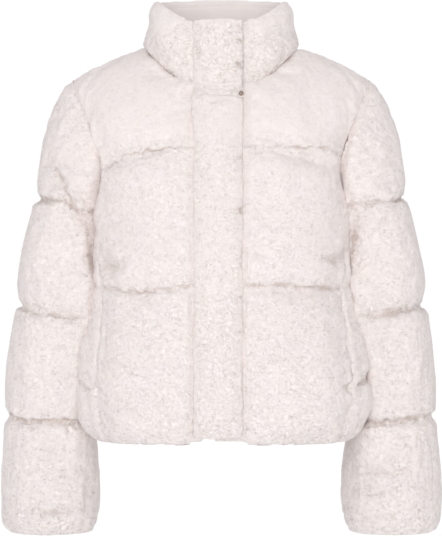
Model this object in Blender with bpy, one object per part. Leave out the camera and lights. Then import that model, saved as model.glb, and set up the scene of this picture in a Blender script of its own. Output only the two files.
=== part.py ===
"""A cropped, quilted fleece jacket with a stand collar and a fly front, filled out as if worn.

Metres, +Z up, the front faces -Y and the wearer's left is at +X. The origin is in the middle of
the neck, level with the points where shoulder and neck meet. Every panel starts as one inner
surface, which its neighbours share at the seams. The padding is raised from that surface.
"""

import math
from collections import namedtuple

import bpy
import numpy as np
from mathutils.kdtree import KDTree

# Padding and seams
PAD = 0.015  # wall at the middle of a quilted channel
PAD_UNDER_ARM = 0.009  # sleeve wall where it lies against the body
THIN_INWARD = 1.6  # the sleeve's wall thins this fast as it turns to the body
THIN_BELOW_HEM = 0.4  # and this fast below the hem
SEAM_WALL = 0.006  # wall at a seam or a quilting line
FLAT_WALL = 0.005  # front and collar under the fly
HEM_WALL = 0.006  # wall at hem and cuffs
HEM_FILL = 0.55  # share of the full padding that reaches the hem
CUFF_FILL = 0.6
RIM_WALL = 0.008  # wall at the collar's rim
RIM_ROUND = 0.016
HALF_GAP = 0.00015  # each panel stops this far short of its seam
CURVED_SET_BACK = 1.95  # sleeve and collar stop this much further back, because their seams curve
SAMPLE_STEP = 0.004
SHARP_ANGLE = 50
FACING = 0.26  # a surface faces a point when it lies at least this far above it, as a sine
ROOM_SHARE = 0.92  # share of the space to a facing surface that the wall may fill
ROOM_GAP = 0.0004  # and this much of it stays air
ROOM_REACH = 2.2  # surfaces further off than this many walls don't matter
LEAST_WALL = 0.0012
UNDERARM_SPREAD = 0.050  # under the arm, body and sleeve are full this far from the underarm point
CHANNEL_ROUND = 0.026  # distance over which a channel rises beside a quilting line
SIDE_SEAM_FILL = 0.6  # the side seams sink this much less than the others
SIDE_SEAM_ROWS = 2  # from this many rows below the underarm
EDGE_ROUND = 0.030  # distance over which a panel rises beside a seam
SEAM_STEPS = (0.006, 0.016)  # mesh rows beside each seam
TOP_STEPS = (0.008, 0.023)  # mesh rows below the neck and shoulder; the fly is joined on the second
CORNER_STEP = 1.3  # the step is longer at the corner of neck and shoulder
HEM_STEPS = (0.004, 0.009, 0.020)

# Body
SECTION_POWER = 2.4  # roundness of the body's level sections
FRONT_DOME = 1.85  # roundness of the chest up to the shoulder line
BACK_DOME = 2.7
DOME_START = -0.200  # height where chest and back begin to curve in
SHOULDER_Z = -0.004  # shoulder line at the neck
SHOULDER_SLOPE = 0.25
SHOULDER_CURVE = 1.4  # how much steeper the shoulder line grows per metre
SHOULDER_BLEND = 0.030
SHOULDER_END_X = 0.207
NECK_HALF_WIDTH = 0.096
NECK_FRONT = 0.080
NECK_BACK = 0.080
NECK_POWER = 2.4  # roundness of the neck seam seen from above

# Heights of the quilting lines and hem, at the centre and at the side
HEM_Z = -0.549
LOW_LINE_Z = -0.336
YOKE_LINE_Z = -0.147
UNDERARM_Z = -0.237
UNDERARM_CENTRE_Z = -0.226
YOKE_ARMHOLE_Z = -0.172
ARMHOLE_TURN_Z = -0.085  # above this the armhole turns in to the shoulder's end
LINE_SAG = 0.008  # the lower quilting line hangs this much between fly and side
SAG_SPREAD = 0.050

# Front edges, fly and zip, in x
ZIP_LEFT_X = -0.010
ZIP_RIGHT_X = -0.024
FLY_FREE_X = 0.0298
FLY_SEAM_X = -0.0378
FLY_GROOVE = 0.002  # gap beside the fly before the front's padding starts
FLY_MIDDLE_X = 0.012
FLY_FOOT = 0.008  # the padding beside the fly is half risen here
BESIDE_FLY_LEFT_X = 0.050
BESIDE_FLY_RIGHT_X = -0.058
FLY_WALL = 0.009
FLY_EDGE_WALL = 0.006
ZIP_WALL = 0.0012
ZIP_DEPTH = 0.0015
ZIP_COIL = 0.0008

# Collar, over the neck seam
COLLAR_FRONT_Z = 0.030
COLLAR_SIDE_Z = 0.0625
COLLAR_BACK_Z = 0.079
COLLAR_RISE = (20.0, 68.0)  # degrees from the front centre between which the rim rises to the side
COLLAR_TAPER = 0.08  # share of its width that the collar loses towards its rim
COLLAR_LEAN = 0.004  # the collar swells this far forward and back at half its height
COLLAR_LINING = 0.0012
COLLAR_STEPS = (0.0, 0.07, 0.18, 0.36, 0.58, 0.78, 0.91, 1.0)

# Press stud
STUD_RADIUS = 0.0032
STUD_HEIGHT = 0.0018
STUD_INSET = 0.0045  # from the fly's free edge
STUD_RISE = 0.0048  # above the join of the fly's two lengths
STUD_GAP = 0.0007  # the fly's face curves a little under the stud
STUD_SIDES = 16
STUD_PROFILE = ((1.0, 0.0), (1.0, 0.55), (0.72, 1.0))  # shares of radius and height

# Outer size of the body: z, centre x, half width, depth of front and of back
Section = namedtuple("Section", "z centre half_width front back")
BODY = (
    Section(-0.549, 0.004, 0.190, 0.128, 0.122),
    Section(-0.530, 0.004, 0.199, 0.134, 0.128),
    Section(-0.505, 0.004, 0.205, 0.139, 0.134),
    Section(-0.460, 0.004, 0.205, 0.141, 0.136),
    Section(-0.410, 0.003, 0.199, 0.139, 0.135),
    Section(-0.344, 0.002, 0.186, 0.135, 0.132),
    Section(-0.290, 0.001, 0.182, 0.137, 0.134),
    Section(-0.237, 0.001, 0.180, 0.134, 0.132),
    Section(-0.195, 0.000, 0.186, 0.131, 0.131),
    Section(-0.160, 0.000, 0.197, 0.129, 0.130),
    Section(-0.118, 0.000, 0.218, 0.127, 0.128),
    Section(-0.080, 0.000, 0.238, 0.125, 0.126),
    Section(-0.040, 0.000, 0.255, 0.124, 0.124),
    Section(0.040, 0.000, 0.270, 0.122, 0.120),
)

# Side seam and armhole: z, and degrees round the section from the centre of front or back
Edge = namedtuple("Edge", "z turn")
SIDE_SEAM = (
    Edge(-0.549, 59.0),
    Edge(-0.420, 59.7),
    Edge(-0.344, 62.5),
    Edge(-0.300, 70.0),
    Edge(-0.262, 81.5),
    Edge(-0.237, 90.0),
)
FRONT_ARMHOLE = (
    Edge(-0.237, 90.0),
    Edge(-0.216, 81.5),
    Edge(-0.195, 73.0),
    Edge(-0.160, 63.5),
    Edge(-0.118, 59.3),
    Edge(-0.080, 57.5),
    Edge(-0.050, 58.0),
)
BACK_ARMHOLE = (
    Edge(-0.237, 90.0),
    Edge(-0.216, 80.5),
    Edge(-0.195, 71.0),
    Edge(-0.160, 60.5),
    Edge(-0.118, 57.0),
    Edge(-0.080, 56.5),
    Edge(-0.050, 58.0),
)

# Outer size of the sleeve below its cap. drop is how much lower the ring's inner side hangs.
Ring = namedtuple("Ring", "z drop outside inside front back")
SLEEVE = (
    Ring(-0.212, 0.050, 0.263, 0.184, -0.068, 0.104),
    Ring(-0.288, 0.024, 0.283, 0.180, -0.056, 0.118),
    Ring(-0.362, 0.020, 0.294, 0.182, -0.046, 0.124),
    Ring(-0.445, 0.012, 0.3045, 0.184, -0.034, 0.128),
    Ring(-0.525, 0.007, 0.3125, 0.181, -0.024, 0.131),
    Ring(-0.600, 0.004, 0.3185, 0.177, -0.016, 0.132),
    Ring(-0.660, 0.000, 0.319, 0.178, -0.014, 0.132),
    Ring(-0.687, 0.000, 0.314, 0.182, -0.010, 0.128),
)
SLEEVE_LINES = (-0.212, -0.362, -0.525, -0.687)  # quilting lines and cuff end, at the outside
SLEEVE_POWER = 2.2
SLEEVE_CLEAR = 0.0016  # air between sleeve and body
BELOW_HEM = 0.004  # the sleeve gives way to the body down to here
HEM_FADE = 0.030

# Slopes of the sleeve cap where it leaves the armhole and where it meets the first ring
CAP_TURN_DOWN = (0.25, 0.90)  # at the underarm and at the shoulder
CAP_FORWARD = 0.25
CAP_OUT = 0.55  # share of the outward slope that is left at the shoulder
RING_OUT = 0.22
RING_BACK = 0.12
CAP_FULLNESS = 1.1

DIAGONAL_RULE = np.array([1.0, 0.37, 0.61])  # seam walls are split toward the lower end along this

# Fine points per traced line, and even mesh steps along each stretch
TRACE = 160
CLOSE_SHARE = 0.7  # the close steps take at most this share of a stretch
EVEN_NECK_FRONT = 5
EVEN_NECK_BACK = 5
EVEN_SHOULDER = 3
EVEN_ARMHOLE = 3
EVEN_CAP = 3
EVEN_RINGS = 2

FLEECE = (0.87, 0.80, 0.775, 1.0)
LINING_CLOTH = (0.76, 0.68, 0.665, 1.0)
METAL = (0.16, 0.12, 0.10, 1.0)
TAPE = (0.72, 0.66, 0.64, 1.0)


def read(table, field, z):
    """One column of a table at height z, along a smooth curve through its rows."""
    rows = sorted(table, key=lambda row: row.z)
    heights = np.array([row.z for row in rows])
    values = np.array([getattr(row, field) for row in rows])
    z = min(max(z, heights[0]), heights[-1])
    slopes = np.gradient(values, heights)
    row = int(np.clip(np.searchsorted(heights, z) - 1, 0, len(heights) - 2))
    step = heights[row + 1] - heights[row]
    t = (z - heights[row]) / step
    return (
        values[row] * (1 + 2 * t) * (1 - t) ** 2
        + values[row + 1] * t * t * (3 - 2 * t)
        + slopes[row] * step * t * (1 - t) ** 2
        + slopes[row + 1] * step * t * t * (t - 1)
    )


def signed_power(value, power):
    return math.copysign(abs(value) ** power, value)


def half_width(z):
    return read(BODY, "half_width", z) - PAD


def depth(z, front):
    return read(BODY, "front" if front else "back", z) - PAD


def shoulder_line(x):
    """Height of the shoulder line at x. It is carried on across the neck."""
    beyond = math.hypot(x, SHOULDER_BLEND) - math.hypot(NECK_HALF_WIDTH, SHOULDER_BLEND)
    return SHOULDER_Z - SHOULDER_SLOPE * beyond - SHOULDER_CURVE * beyond * abs(beyond)


def dome_angle(x, z, front):
    """How far the chest or back has curved in at (x, z), from 0 to a right angle on the shoulder."""
    share = (z - DOME_START) / (shoulder_line(x) - DOME_START)
    power = FRONT_DOME if front else BACK_DOME
    return math.asin(min(max(share, 0.0), 1.0) ** (power / 2))


def dome_height(x, angle, front):
    power = FRONT_DOME if front else BACK_DOME
    share = max(math.sin(angle), 0.0) ** (2 / power)
    return DOME_START + (shoulder_line(x) - DOME_START) * share


def body_depth(x, z, front, angle=None):
    """The body's inner surface at (x, z): its distance from the plane y = 0."""
    share = min(abs(x - read(BODY, "centre", z)) / half_width(z), 1.0)
    if angle is None:
        angle = dome_angle(x, z, front)
    power = FRONT_DOME if front else BACK_DOME
    curve = max(math.cos(angle), 0.0) ** (2 / power)
    return depth(z, front) * (1 - share**SECTION_POWER) ** (1 / SECTION_POWER) * curve


def body_point(turn, z, side):
    """A point of the inner surface: turn is 0 at the front centre, pi at the back centre."""
    share = signed_power(math.sin(turn), 2 / SECTION_POWER)
    x = read(BODY, "centre", z) + side * half_width(z) * share
    front = math.cos(turn) > 0
    power = FRONT_DOME if front else BACK_DOME
    curve = max(math.cos(dome_angle(x, z, front)), 0.0) ** (2 / power)
    reach = depth(z, front) * abs(math.cos(turn)) ** (2 / SECTION_POWER) * curve
    return np.array([x, -reach if front else reach, z])


def turn_at(x, z, side):
    """The turn of the front point at (x, z)."""
    share = side * (x - read(BODY, "centre", z)) / half_width(z)
    share = min(max(share, -1.0), 1.0)
    return math.asin(signed_power(share, SECTION_POWER / 2))


def lengths(points):
    steps = np.linalg.norm(np.diff(points, axis=0), axis=1)
    return np.concatenate([[0.0], np.cumsum(steps)])


def stations(start, end, near_start=(), near_end=(), even=3):
    """Positions from start to end: close steps beside the seams and even ones between."""
    way = math.copysign(1.0, end - start)
    close = max(near_start, default=0.0) + max(near_end, default=0.0)
    fit = min(1.0, CLOSE_SHARE * abs(end - start) / max(close, 1e-9))
    first = [start + way * fit * step for step in near_start]
    last = [end - way * fit * step for step in reversed(near_end)]
    inner_start = first[-1] if first else start
    inner_end = last[0] if last else end
    between = list(np.linspace(inner_start, inner_end, even + 1)[1:-1])
    return [start] + first + between + last + [end]


def along(points, distances):
    """Points of a traced line at the given distances from its start."""
    total = lengths(points)
    return np.array([[np.interp(d, total, points[:, k]) for k in range(3)] for d in distances])


def armhole(side, front):
    """Half of the armhole, traced from the underarm up to the shoulder."""
    table = FRONT_ARMHOLE if front else BACK_ARMHOLE
    top = shoulder_line(SHOULDER_END_X)
    trace = []
    for step in np.linspace(0.0, math.pi, TRACE):
        z = top + (UNDERARM_Z - top) * (1 + math.cos(step)) / 2
        share = math.sin(math.radians(read(table, "turn", z))) ** (2 / SECTION_POWER)
        at_top = max(0.0, (z - ARMHOLE_TURN_Z) / (top - ARMHOLE_TURN_Z)) ** 2
        x = read(BODY, "centre", z) + side * half_width(z) * share
        x += at_top * (side * SHOULDER_END_X - x)
        reach = body_depth(x, z, front)
        trace.append([x, -reach if front else reach, z])
    trace[0][1] = 0.0
    trace[-1] = [side * SHOULDER_END_X, 0.0, top]
    return np.array(trace)


def armhole_points(side, front):
    """The armhole's mesh points, from the underarm to the shoulder, with the yoke line among them."""
    trace = armhole(side, front)
    total = lengths(trace)
    yoke = float(np.interp(YOKE_ARMHOLE_Z, trace[:, 2], total))
    low = stations(0.0, yoke, near_end=SEAM_STEPS, even=EVEN_ARMHOLE)
    high = stations(yoke, total[-1], near_start=SEAM_STEPS, near_end=TOP_STEPS, even=2)
    return along(trace, low + high[1:])


def row_heights():
    """Each mesh row's height at the centre, and at the side seam for the rows below the underarm."""
    low = stations(HEM_Z, LOW_LINE_Z, near_start=HEM_STEPS, near_end=SEAM_STEPS, even=3)
    middle = stations(LOW_LINE_Z, UNDERARM_CENTRE_Z, near_start=SEAM_STEPS, near_end=SEAM_STEPS, even=2)
    middle_side = stations(LOW_LINE_Z, UNDERARM_Z, near_start=SEAM_STEPS, near_end=SEAM_STEPS, even=2)
    upper = stations(UNDERARM_CENTRE_Z, YOKE_LINE_Z, near_end=SEAM_STEPS, even=EVEN_ARMHOLE)
    return low + middle[1:] + upper[1:], low + middle_side[1:]


CENTRE_ROWS, SIDE_ROWS = row_heights()
LOW_LINE_ROW = CENTRE_ROWS.index(LOW_LINE_Z)
YOKE_ROW = len(CENTRE_ROWS) - 1


def neck_point(turn, side, front):
    """A point of the neck seam: turn is 0 at the centre and a right angle at the shoulder."""
    x = side * NECK_HALF_WIDTH * signed_power(math.sin(turn), 2 / NECK_POWER)
    reach = (NECK_FRONT if front else NECK_BACK) * abs(math.cos(turn)) ** (2 / NECK_POWER)
    return dome_point(x, reach, front)


def dome_point(x, reach, front):
    """The point of the chest or back that lies at x, and at reach from the plane y = 0."""
    power = FRONT_DOME if front else BACK_DOME
    z = shoulder_line(x)
    for _ in range(30):
        share = min(abs(x) / half_width(z), 1.0)
        full = depth(z, front) * (1 - share**SECTION_POWER) ** (1 / SECTION_POWER)
        angle = math.acos(min(reach / full, 1.0) ** (power / 2))
        z = 0.5 * z + 0.5 * dome_height(x, angle, front)
    return np.array([x, -reach if front else reach, z])


def shoulder_points(side):
    """The shoulder seam's mesh points, from the neck to the armhole."""
    xs = np.linspace(NECK_HALF_WIDTH, SHOULDER_END_X, TRACE)
    trace = np.array([[side * x, 0.0, shoulder_line(x)] for x in xs])
    total = lengths(trace)[-1]
    return along(trace, stations(0.0, total, near_end=SEAM_STEPS, even=EVEN_SHOULDER))


def top_edge(side, front, fixed, even):
    """The panel's top row: the neck seam with its fixed columns, then the shoulder seam."""
    neck = np.array([neck_point(t, side, front) for t in np.linspace(-0.3, math.pi / 2, TRACE)])
    total = lengths(neck)
    at = [float(np.interp(x, side * neck[:, 0], total)) for x in fixed]
    at += list(np.linspace(at[-1], total[-1], even + 1)[1:])
    points = along(neck, at)
    points[-1] = [side * NECK_HALF_WIDTH, 0.0, shoulder_line(NECK_HALF_WIDTH)]
    return np.concatenate([points, shoulder_points(side)[1:]])


def level_row(side, front, fixed, columns, centre_z, edge_turn, edge_z, sag):
    """One row of a panel from its first fixed column to its side edge."""
    if front:
        first = turn_at(side * fixed[0], centre_z, side)
    else:
        first = math.pi
    trace = []
    for t in np.linspace(0.0, 1.0, TRACE):
        ease = t * t * (3 - 2 * t)
        z = centre_z + (edge_z - centre_z) * ease - sag * math.sin(math.pi * t) ** 2
        trace.append(body_point(first + (edge_turn - first) * t, z, side))
    trace = np.array(trace)
    total = lengths(trace)
    at = [float(np.interp(x, side * trace[:, 0], total)) for x in fixed] if front else [0.0]
    at[0] = 0.0
    even = columns - len(fixed) - len(SEAM_STEPS)
    at += stations(at[-1], total[-1], near_end=SEAM_STEPS, even=even)[1:]
    return along(trace, at)


def half_panel(side, front, fixed, even_neck):
    """The inner surface of a front, or of half the back, from centre to side: grid[row, column]."""
    top = top_edge(side, front, fixed, even_neck)
    columns = len(top)
    arm = armhole_points(side, front)
    rows = []
    for index, centre_z in enumerate(CENTRE_ROWS):
        sag = LINE_SAG * math.exp(-(((centre_z - LOW_LINE_Z) / SAG_SPREAD) ** 2))
        if index < len(SIDE_ROWS):
            edge_z = SIDE_ROWS[index]
            turn = math.radians(read(SIDE_SEAM, "turn", edge_z))
            edge = body_point(turn, edge_z, side)
        else:
            edge = arm[index - len(SIDE_ROWS) + 1]
            edge_z = edge[2]
            turn = turn_at(edge[0], edge_z, side)
            if not front:
                turn = math.pi - turn
        row = level_row(side, front, fixed, columns, centre_z, turn, edge_z, sag)
        row[-1] = edge
        rows.append(row)
    corner = len(fixed) + even_neck - 1
    above = arm[YOKE_ROW - len(SIDE_ROWS) + 1 :]
    return np.array(rows + yoke_rows(front, rows[-1], top, above, corner))


def beside_top(front, upper, corner, step, arm_point):
    """The row that runs at a fixed step below the neck and shoulder seams, square to them."""
    row = []
    neck_depth = NECK_FRONT if front else NECK_BACK
    for column, point in enumerate(upper):
        across, away = point[0], abs(point[1])
        if column <= corner:
            wide = abs(across / NECK_HALF_WIDTH) ** (NECK_POWER - 1) / NECK_HALF_WIDTH
            deep = (away / neck_depth) ** (NECK_POWER - 1) / neck_depth
            slope = np.array([math.copysign(wide, across), deep])
            slope /= np.linalg.norm(slope)
        else:
            slope = np.array([0.0, 1.0])
        length = step
        if column == corner:
            slope = np.array([math.copysign(0.7, across), 0.7])
            length = step * CORNER_STEP
        reach = length
        for _ in range(4):
            place = np.array([across, away]) + slope * reach
            below = dome_point(place[0], place[1], front)
            reach *= length / np.linalg.norm(below - point)
        row.append(below)
    row[-1] = arm_point
    return np.array(row)


def yoke_rows(front, lower, top, arm, corner):
    """Rows from the yoke line to the neck and shoulder, whose last column follows the armhole."""
    power = FRONT_DOME if front else BACK_DOME
    near = len(TOP_STEPS)
    beside = [
        beside_top(front, top, corner, step, arm[-2 - index]) for index, step in enumerate(TOP_STEPS)
    ]
    upper = beside[-1]
    arm = arm[:-near]

    def flat(point):
        full = max(body_depth(point[0], point[2], front, 0.0), 1e-6)
        angle = math.acos(min(abs(point[1]) / full, 1.0) ** (power / 2))
        return np.array([point[0], angle if point[2] > DOME_START else 0.0])

    low = np.array([flat(p) for p in lower])
    high = np.array([flat(p) for p in upper])
    edge = np.array([flat(p) for p in arm])
    span = float(np.linalg.norm(upper[0] - lower[0]))
    centre = np.array(stations(0.0, span, SEAM_STEPS, (), even=2)) / span
    outer = lengths(arm) / lengths(arm)[-1]
    last = len(lower) - 1
    rows = []
    for index in range(1, len(arm)):
        row = []
        for column in range(last + 1):
            share = column / last
            t = centre[index] + (outer[index] - centre[index]) * share
            place = low[column] + (high[column] - low[column]) * t
            straight = low[last] + (high[last] - low[last]) * outer[index]
            place = place + (edge[index] - straight) * share**2
            z = dome_height(place[0], place[1], front)
            reach = body_depth(place[0], z, front, place[1])
            row.append([place[0], -reach if front else reach, z])
        row[-1] = list(arm[index])
        rows.append(np.array(row))
    rows[-1] = upper
    return rows + beside[-2::-1] + [top]


def sleeve_ring(side, z, turns):
    """A ring of the sleeve's inner surface: turn is 0 outside, a quarter in front, half inside."""
    outside = read(SLEEVE, "outside", z) - PAD
    inside = read(SLEEVE, "inside", z) + PAD_UNDER_ARM
    front = read(SLEEVE, "front", z) + PAD
    back = read(SLEEVE, "back", z) - PAD
    drop = read(SLEEVE, "drop", z)
    points = []
    for turn in turns:
        x = (outside + inside) / 2 + (outside - inside) / 2 * signed_power(math.cos(turn), 2 / SLEEVE_POWER)
        y = (front + back) / 2 - (back - front) / 2 * signed_power(math.sin(turn), 2 / SLEEVE_POWER)
        low = ((1 - math.cos(turn)) / 2) ** 1.5
        points.append(clear_of_body(side, np.array([side * x, y, z - drop * low])))
    return np.array(points)


def clear_of_body(side, point):
    """Moves a sleeve point out, square to the body's section, until both paddings fit between."""
    x, y, z = point
    if z < HEM_Z - BELOW_HEM:
        return point
    apart = PAD + PAD_UNDER_ARM + SLEEVE_CLEAR
    wide = half_width(z) + apart
    deep = depth(z, y < 0) + apart
    across = side * (x - read(BODY, "centre", z))
    size = (abs(across / wide) ** SECTION_POWER + abs(y / deep) ** SECTION_POWER) ** (1 / SECTION_POWER)
    if size >= 1:
        return point
    fade = min(1.0, (z - HEM_Z + BELOW_HEM) / HEM_FADE)
    moved = np.array([read(BODY, "centre", z) + side * across / size, y / size, z])
    return point + (moved - point) * fade


def sleeve_grid(side):
    """The sleeve's inner surface from the armhole to the cuff: grid[row, column], columns all round."""
    front = armhole_points(side, True)[::-1]
    back = armhole_points(side, False)
    start = np.concatenate([front, back[1:-1]])
    turns = np.concatenate(
        [np.linspace(0, math.pi, len(front)), np.linspace(math.pi, 2 * math.pi, len(back))[1:-1]]
    )
    first = sleeve_ring(side, SLEEVE_LINES[0], turns)
    rows = []
    for index, turn in enumerate(turns):
        out = (1 + math.cos(turn)) / 2
        low, high = CAP_TURN_DOWN
        down = low + (high - low) * out
        leave = np.array([side * (1 - (1 - CAP_OUT) * out), -CAP_FORWARD * math.sin(turn), -down])
        arrive = np.array([side * RING_OUT * out, RING_BACK, -1.0])
        span = float(np.linalg.norm(first[index] - start[index]))
        leave *= CAP_FULLNESS * span / np.linalg.norm(leave)
        arrive *= CAP_FULLNESS * span / np.linalg.norm(arrive)
        steps = np.array(stations(0.0, span, SEAM_STEPS, SEAM_STEPS, even=EVEN_CAP)) / span
        rows.append([curve(start[index], first[index], leave, arrive, t) for t in steps])
    cap = np.array(rows).transpose(1, 0, 2)
    rings = [sleeve_ring(side, z, turns) for z in sleeve_heights()]
    return np.concatenate([cap, np.array(rings)])


def sleeve_heights():
    """Heights of the rings below the first quilting line."""
    heights = []
    for top, bottom in zip(SLEEVE_LINES, SLEEVE_LINES[1:]):
        last = bottom == SLEEVE_LINES[-1]
        near_end = HEM_STEPS if last else SEAM_STEPS
        heights += stations(top, bottom, near_start=SEAM_STEPS, near_end=near_end, even=EVEN_RINGS)[1:]
    return heights


def curve(start, end, leave, arrive, t):
    return (
        start * (1 + 2 * t) * (1 - t) ** 2
        + end * t * t * (3 - 2 * t)
        + leave * t * (1 - t) ** 2
        + arrive * t * t * (t - 1)
    )


def collar_rim(turn):
    """Height of the collar's rim: turn is 0 at the front centre and pi at the back centre."""
    if math.cos(turn) < 0:
        return COLLAR_SIDE_Z - (COLLAR_BACK_Z - COLLAR_SIDE_Z) * math.cos(turn)
    low, high = COLLAR_RISE
    share = min(max((math.degrees(abs(turn)) - low) / (high - low), 0.0), 1.0)
    return COLLAR_FRONT_Z + (COLLAR_SIDE_Z - COLLAR_FRONT_Z) * share * share * (3 - 2 * share)


def collar_grid(base):
    """The collar's inner surface over the neck seam: grid[row, column] from left edge to right."""
    rows = []
    for share in COLLAR_STEPS:
        row = []
        for x, y, z in base:
            turn = math.atan2(x / NECK_HALF_WIDTH, -y / (NECK_FRONT if y < 0 else NECK_BACK))
            rim_z = collar_rim(turn)
            width = 1 - COLLAR_TAPER * share**1.5 * math.sin(turn) ** 2
            lean = COLLAR_LEAN * math.sin(math.pi * share)
            row.append([x * width, y * (1 + lean / NECK_FRONT), z + (rim_z - z) * share])
        rows.append(row)
    return np.array(rows)


# Walls


def grid_normals(grid, wrap):
    """Outward normals of one grid's points."""
    right = np.roll(grid, -1, axis=1) if wrap else grid[:, 1:]
    left = grid if wrap else grid[:, :-1]
    cross = np.cross(right[1:] - left[:-1], left[1:] - right[:-1])
    total = np.zeros_like(grid)
    for low in (0, 1):
        rows = slice(low, low + cross.shape[0])
        if wrap:
            total[rows] += cross + np.roll(cross, 1, axis=1)
        else:
            total[rows, :-1] += cross
            total[rows, 1:] += cross
    return total / np.linalg.norm(total, axis=-1, keepdims=True)


def midway(normals):
    """The direction that leans least away from any of the given ones."""
    middle = np.sum(normals, axis=0)
    for _ in range(40):
        middle /= np.linalg.norm(middle)
        farthest = min(normals, key=middle.dot)
        middle = middle + 0.1 * farthest
    return middle / np.linalg.norm(middle)


def vertex_normals(grids):
    """Outward normals of all grids. Where grids meet, the shared normal lies midway between theirs."""
    own = {name: grid_normals(grid, wrap) for name, (grid, wrap) in grids.items()}
    keys = {}
    for name, (grid, _) in grids.items():
        keys[name] = [[tuple(np.round(point, 5)) for point in row] for row in grid]
    meeting = {}
    for name, normals in own.items():
        for key_row, normal_row in zip(keys[name], normals):
            for key, normal in zip(key_row, normal_row):
                meeting.setdefault(key, []).append(normal)
    shared = {key: midway(found) if len(found) > 1 else found[0] for key, found in meeting.items()}
    return {name: np.array([[shared[key] for key in row] for row in rows]) for name, rows in keys.items()}


def surface_samples(grids):
    """Points spread over all inner surfaces, against which the walls measure their room."""
    samples = []
    for grid, wrap in grids.values():
        if wrap:
            grid = np.concatenate([grid, grid[:, :1]], axis=1)
        for low, high in zip(grid, grid[1:]):
            for column in range(grid.shape[1] - 1):
                a, b = low[column], low[column + 1]
                d, c = high[column], high[column + 1]
                up = np.linspace(0, 1, 1 + math.ceil(math.dist(b, c) / SAMPLE_STEP))[:, None, None]
                across = np.linspace(0, 1, 1 + math.ceil(math.dist(a, b) / SAMPLE_STEP))[None, :, None]
                bottom = a * (1 - across) + b * across
                top = d * (1 - across) + c * across
                samples.append((bottom * (1 - up) + top * up).reshape(-1, 3))
    return np.concatenate(samples)


def sample_tree(grids):
    samples = surface_samples(grids)
    tree = KDTree(len(samples))
    for index, sample in enumerate(samples):
        tree.insert(sample, index)
    tree.balance()
    return tree


def room(tree, point, normal, wanted):
    """The largest wall up to wanted that leaves half of the space to a facing surface."""
    near = tree.find_range(point, ROOM_REACH * wanted)
    gap = np.array([place for place, _, _ in near]) - point
    toward = gap @ normal
    squared = np.sum(gap * gap, axis=1)
    facing = toward > FACING * np.sqrt(squared) + 1e-6
    if not facing.any():
        return wanted
    radius = float(np.min(squared[facing] / (2 * toward[facing])))
    return min(wanted, max(ROOM_SHARE * radius - ROOM_GAP, LEAST_WALL))


def rise(distance, reach):
    return math.sin(math.pi / 2 * min(distance / reach, 1.0))


def puff(distance):
    share = min(distance / CHANNEL_ROUND, 1.0)
    return math.sqrt(1 - (1 - share) ** 2)


def under_arm(point):
    """How much the padding is pressed together here between body and sleeve, from 0 to 1."""
    away = math.dist((abs(point[0]), point[1], point[2]), (half_width(UNDERARM_Z), 0.0, UNDERARM_Z))
    return math.exp(-((away / UNDERARM_SPREAD) ** 2))


def line_distances(grid, rows):
    """For each point, the distance along its column to the nearest of the given rows."""
    result = np.full(grid.shape[:2], 1.0)
    for column in range(grid.shape[1]):
        total = lengths(grid[:, column])
        for row in rows:
            result[:, column] = np.minimum(result[:, column], np.abs(total - total[row]))
    return result


def column_distances(grid, columns):
    return line_distances(grid.transpose(1, 0, 2), columns).T


def body_wall(grid, sides, tree, normals, fly_column=None):
    """Wall thickness of a body panel: hem, quilting lines, seams and, in front, the flat under the fly."""
    last = len(grid) - 1
    underarm = len(SIDE_ROWS) - 1
    quilt = line_distances(grid, [LOW_LINE_ROW, YOKE_ROW])
    top = line_distances(grid, [last])
    hem = line_distances(grid, [0])
    across = column_distances(grid, sides)
    wall = np.zeros(grid.shape[:2])
    for r in range(grid.shape[0]):
        for c in range(grid.shape[1]):
            up = puff(quilt[r, c]) * rise(top[r, c], EDGE_ROUND)
            full = PAD * (HEM_FILL + (1 - HEM_FILL) * rise(hem[r, c], EDGE_ROUND))
            beside = rise(across[r, c], EDGE_ROUND)
            if c != fly_column and r < underarm:
                beside = max(beside, SIDE_SEAM_FILL * min(1.0, (underarm - r) / SIDE_SEAM_ROWS))
            squeezed = under_arm(grid[r, c]) if r != underarm or c not in sides else 0.0
            height = SEAM_WALL + (full - SEAM_WALL) * max(up * beside, squeezed)
            if r == 0:
                height = HEM_WALL
            at_armhole = c in sides and c != fly_column and r >= underarm
            if fly_column is not None and c <= fly_column:
                wall[r, c] = FLAT_WALL
            elif at_armhole or r == last:
                wall[r, c] = SEAM_WALL
            else:
                wall[r, c] = room(tree, grid[r, c], normals[r, c], height)
    return wall


def inset(grid, out, wrap, ends):
    """Moves that set a panel's edges back from its seams by half the gap, square to the seam's wall."""
    move = np.zeros_like(grid)

    def toward(edge, inside, normal):
        step = inside - edge
        step /= np.linalg.norm(step, axis=-1, keepdims=True)
        along_edge = np.gradient(edge, axis=0)
        square = np.cross(normal, along_edge)
        square /= np.linalg.norm(square, axis=-1, keepdims=True)
        share = np.maximum(np.abs(np.sum(step * square, axis=-1, keepdims=True)), 0.4)
        return HALF_GAP * step / share

    if "first_row" in ends:
        move[0] += toward(grid[0], grid[1], out[0])
    if "last_row" in ends:
        move[-1] += toward(grid[-1], grid[-2], out[-1])
    if not wrap:
        move[:, 0] += toward(grid[:, 0], grid[:, 1], out[:, 0])
        move[:, -1] += toward(grid[:, -1], grid[:, -2], out[:, -1])
    return move


def add_object(name, points, faces, material):
    mesh = bpy.data.meshes.new(name)
    mesh.from_pydata([tuple(p) for p in points], [], faces)
    mesh.validate()
    mesh.update()
    for polygon in mesh.polygons:
        polygon.use_smooth = True
    mesh.set_sharp_from_angle(angle=math.radians(SHARP_ANGLE))
    mesh.materials.append(material)
    obj = bpy.data.objects.new(name, mesh)
    bpy.context.scene.collection.objects.link(obj)
    return obj


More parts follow.
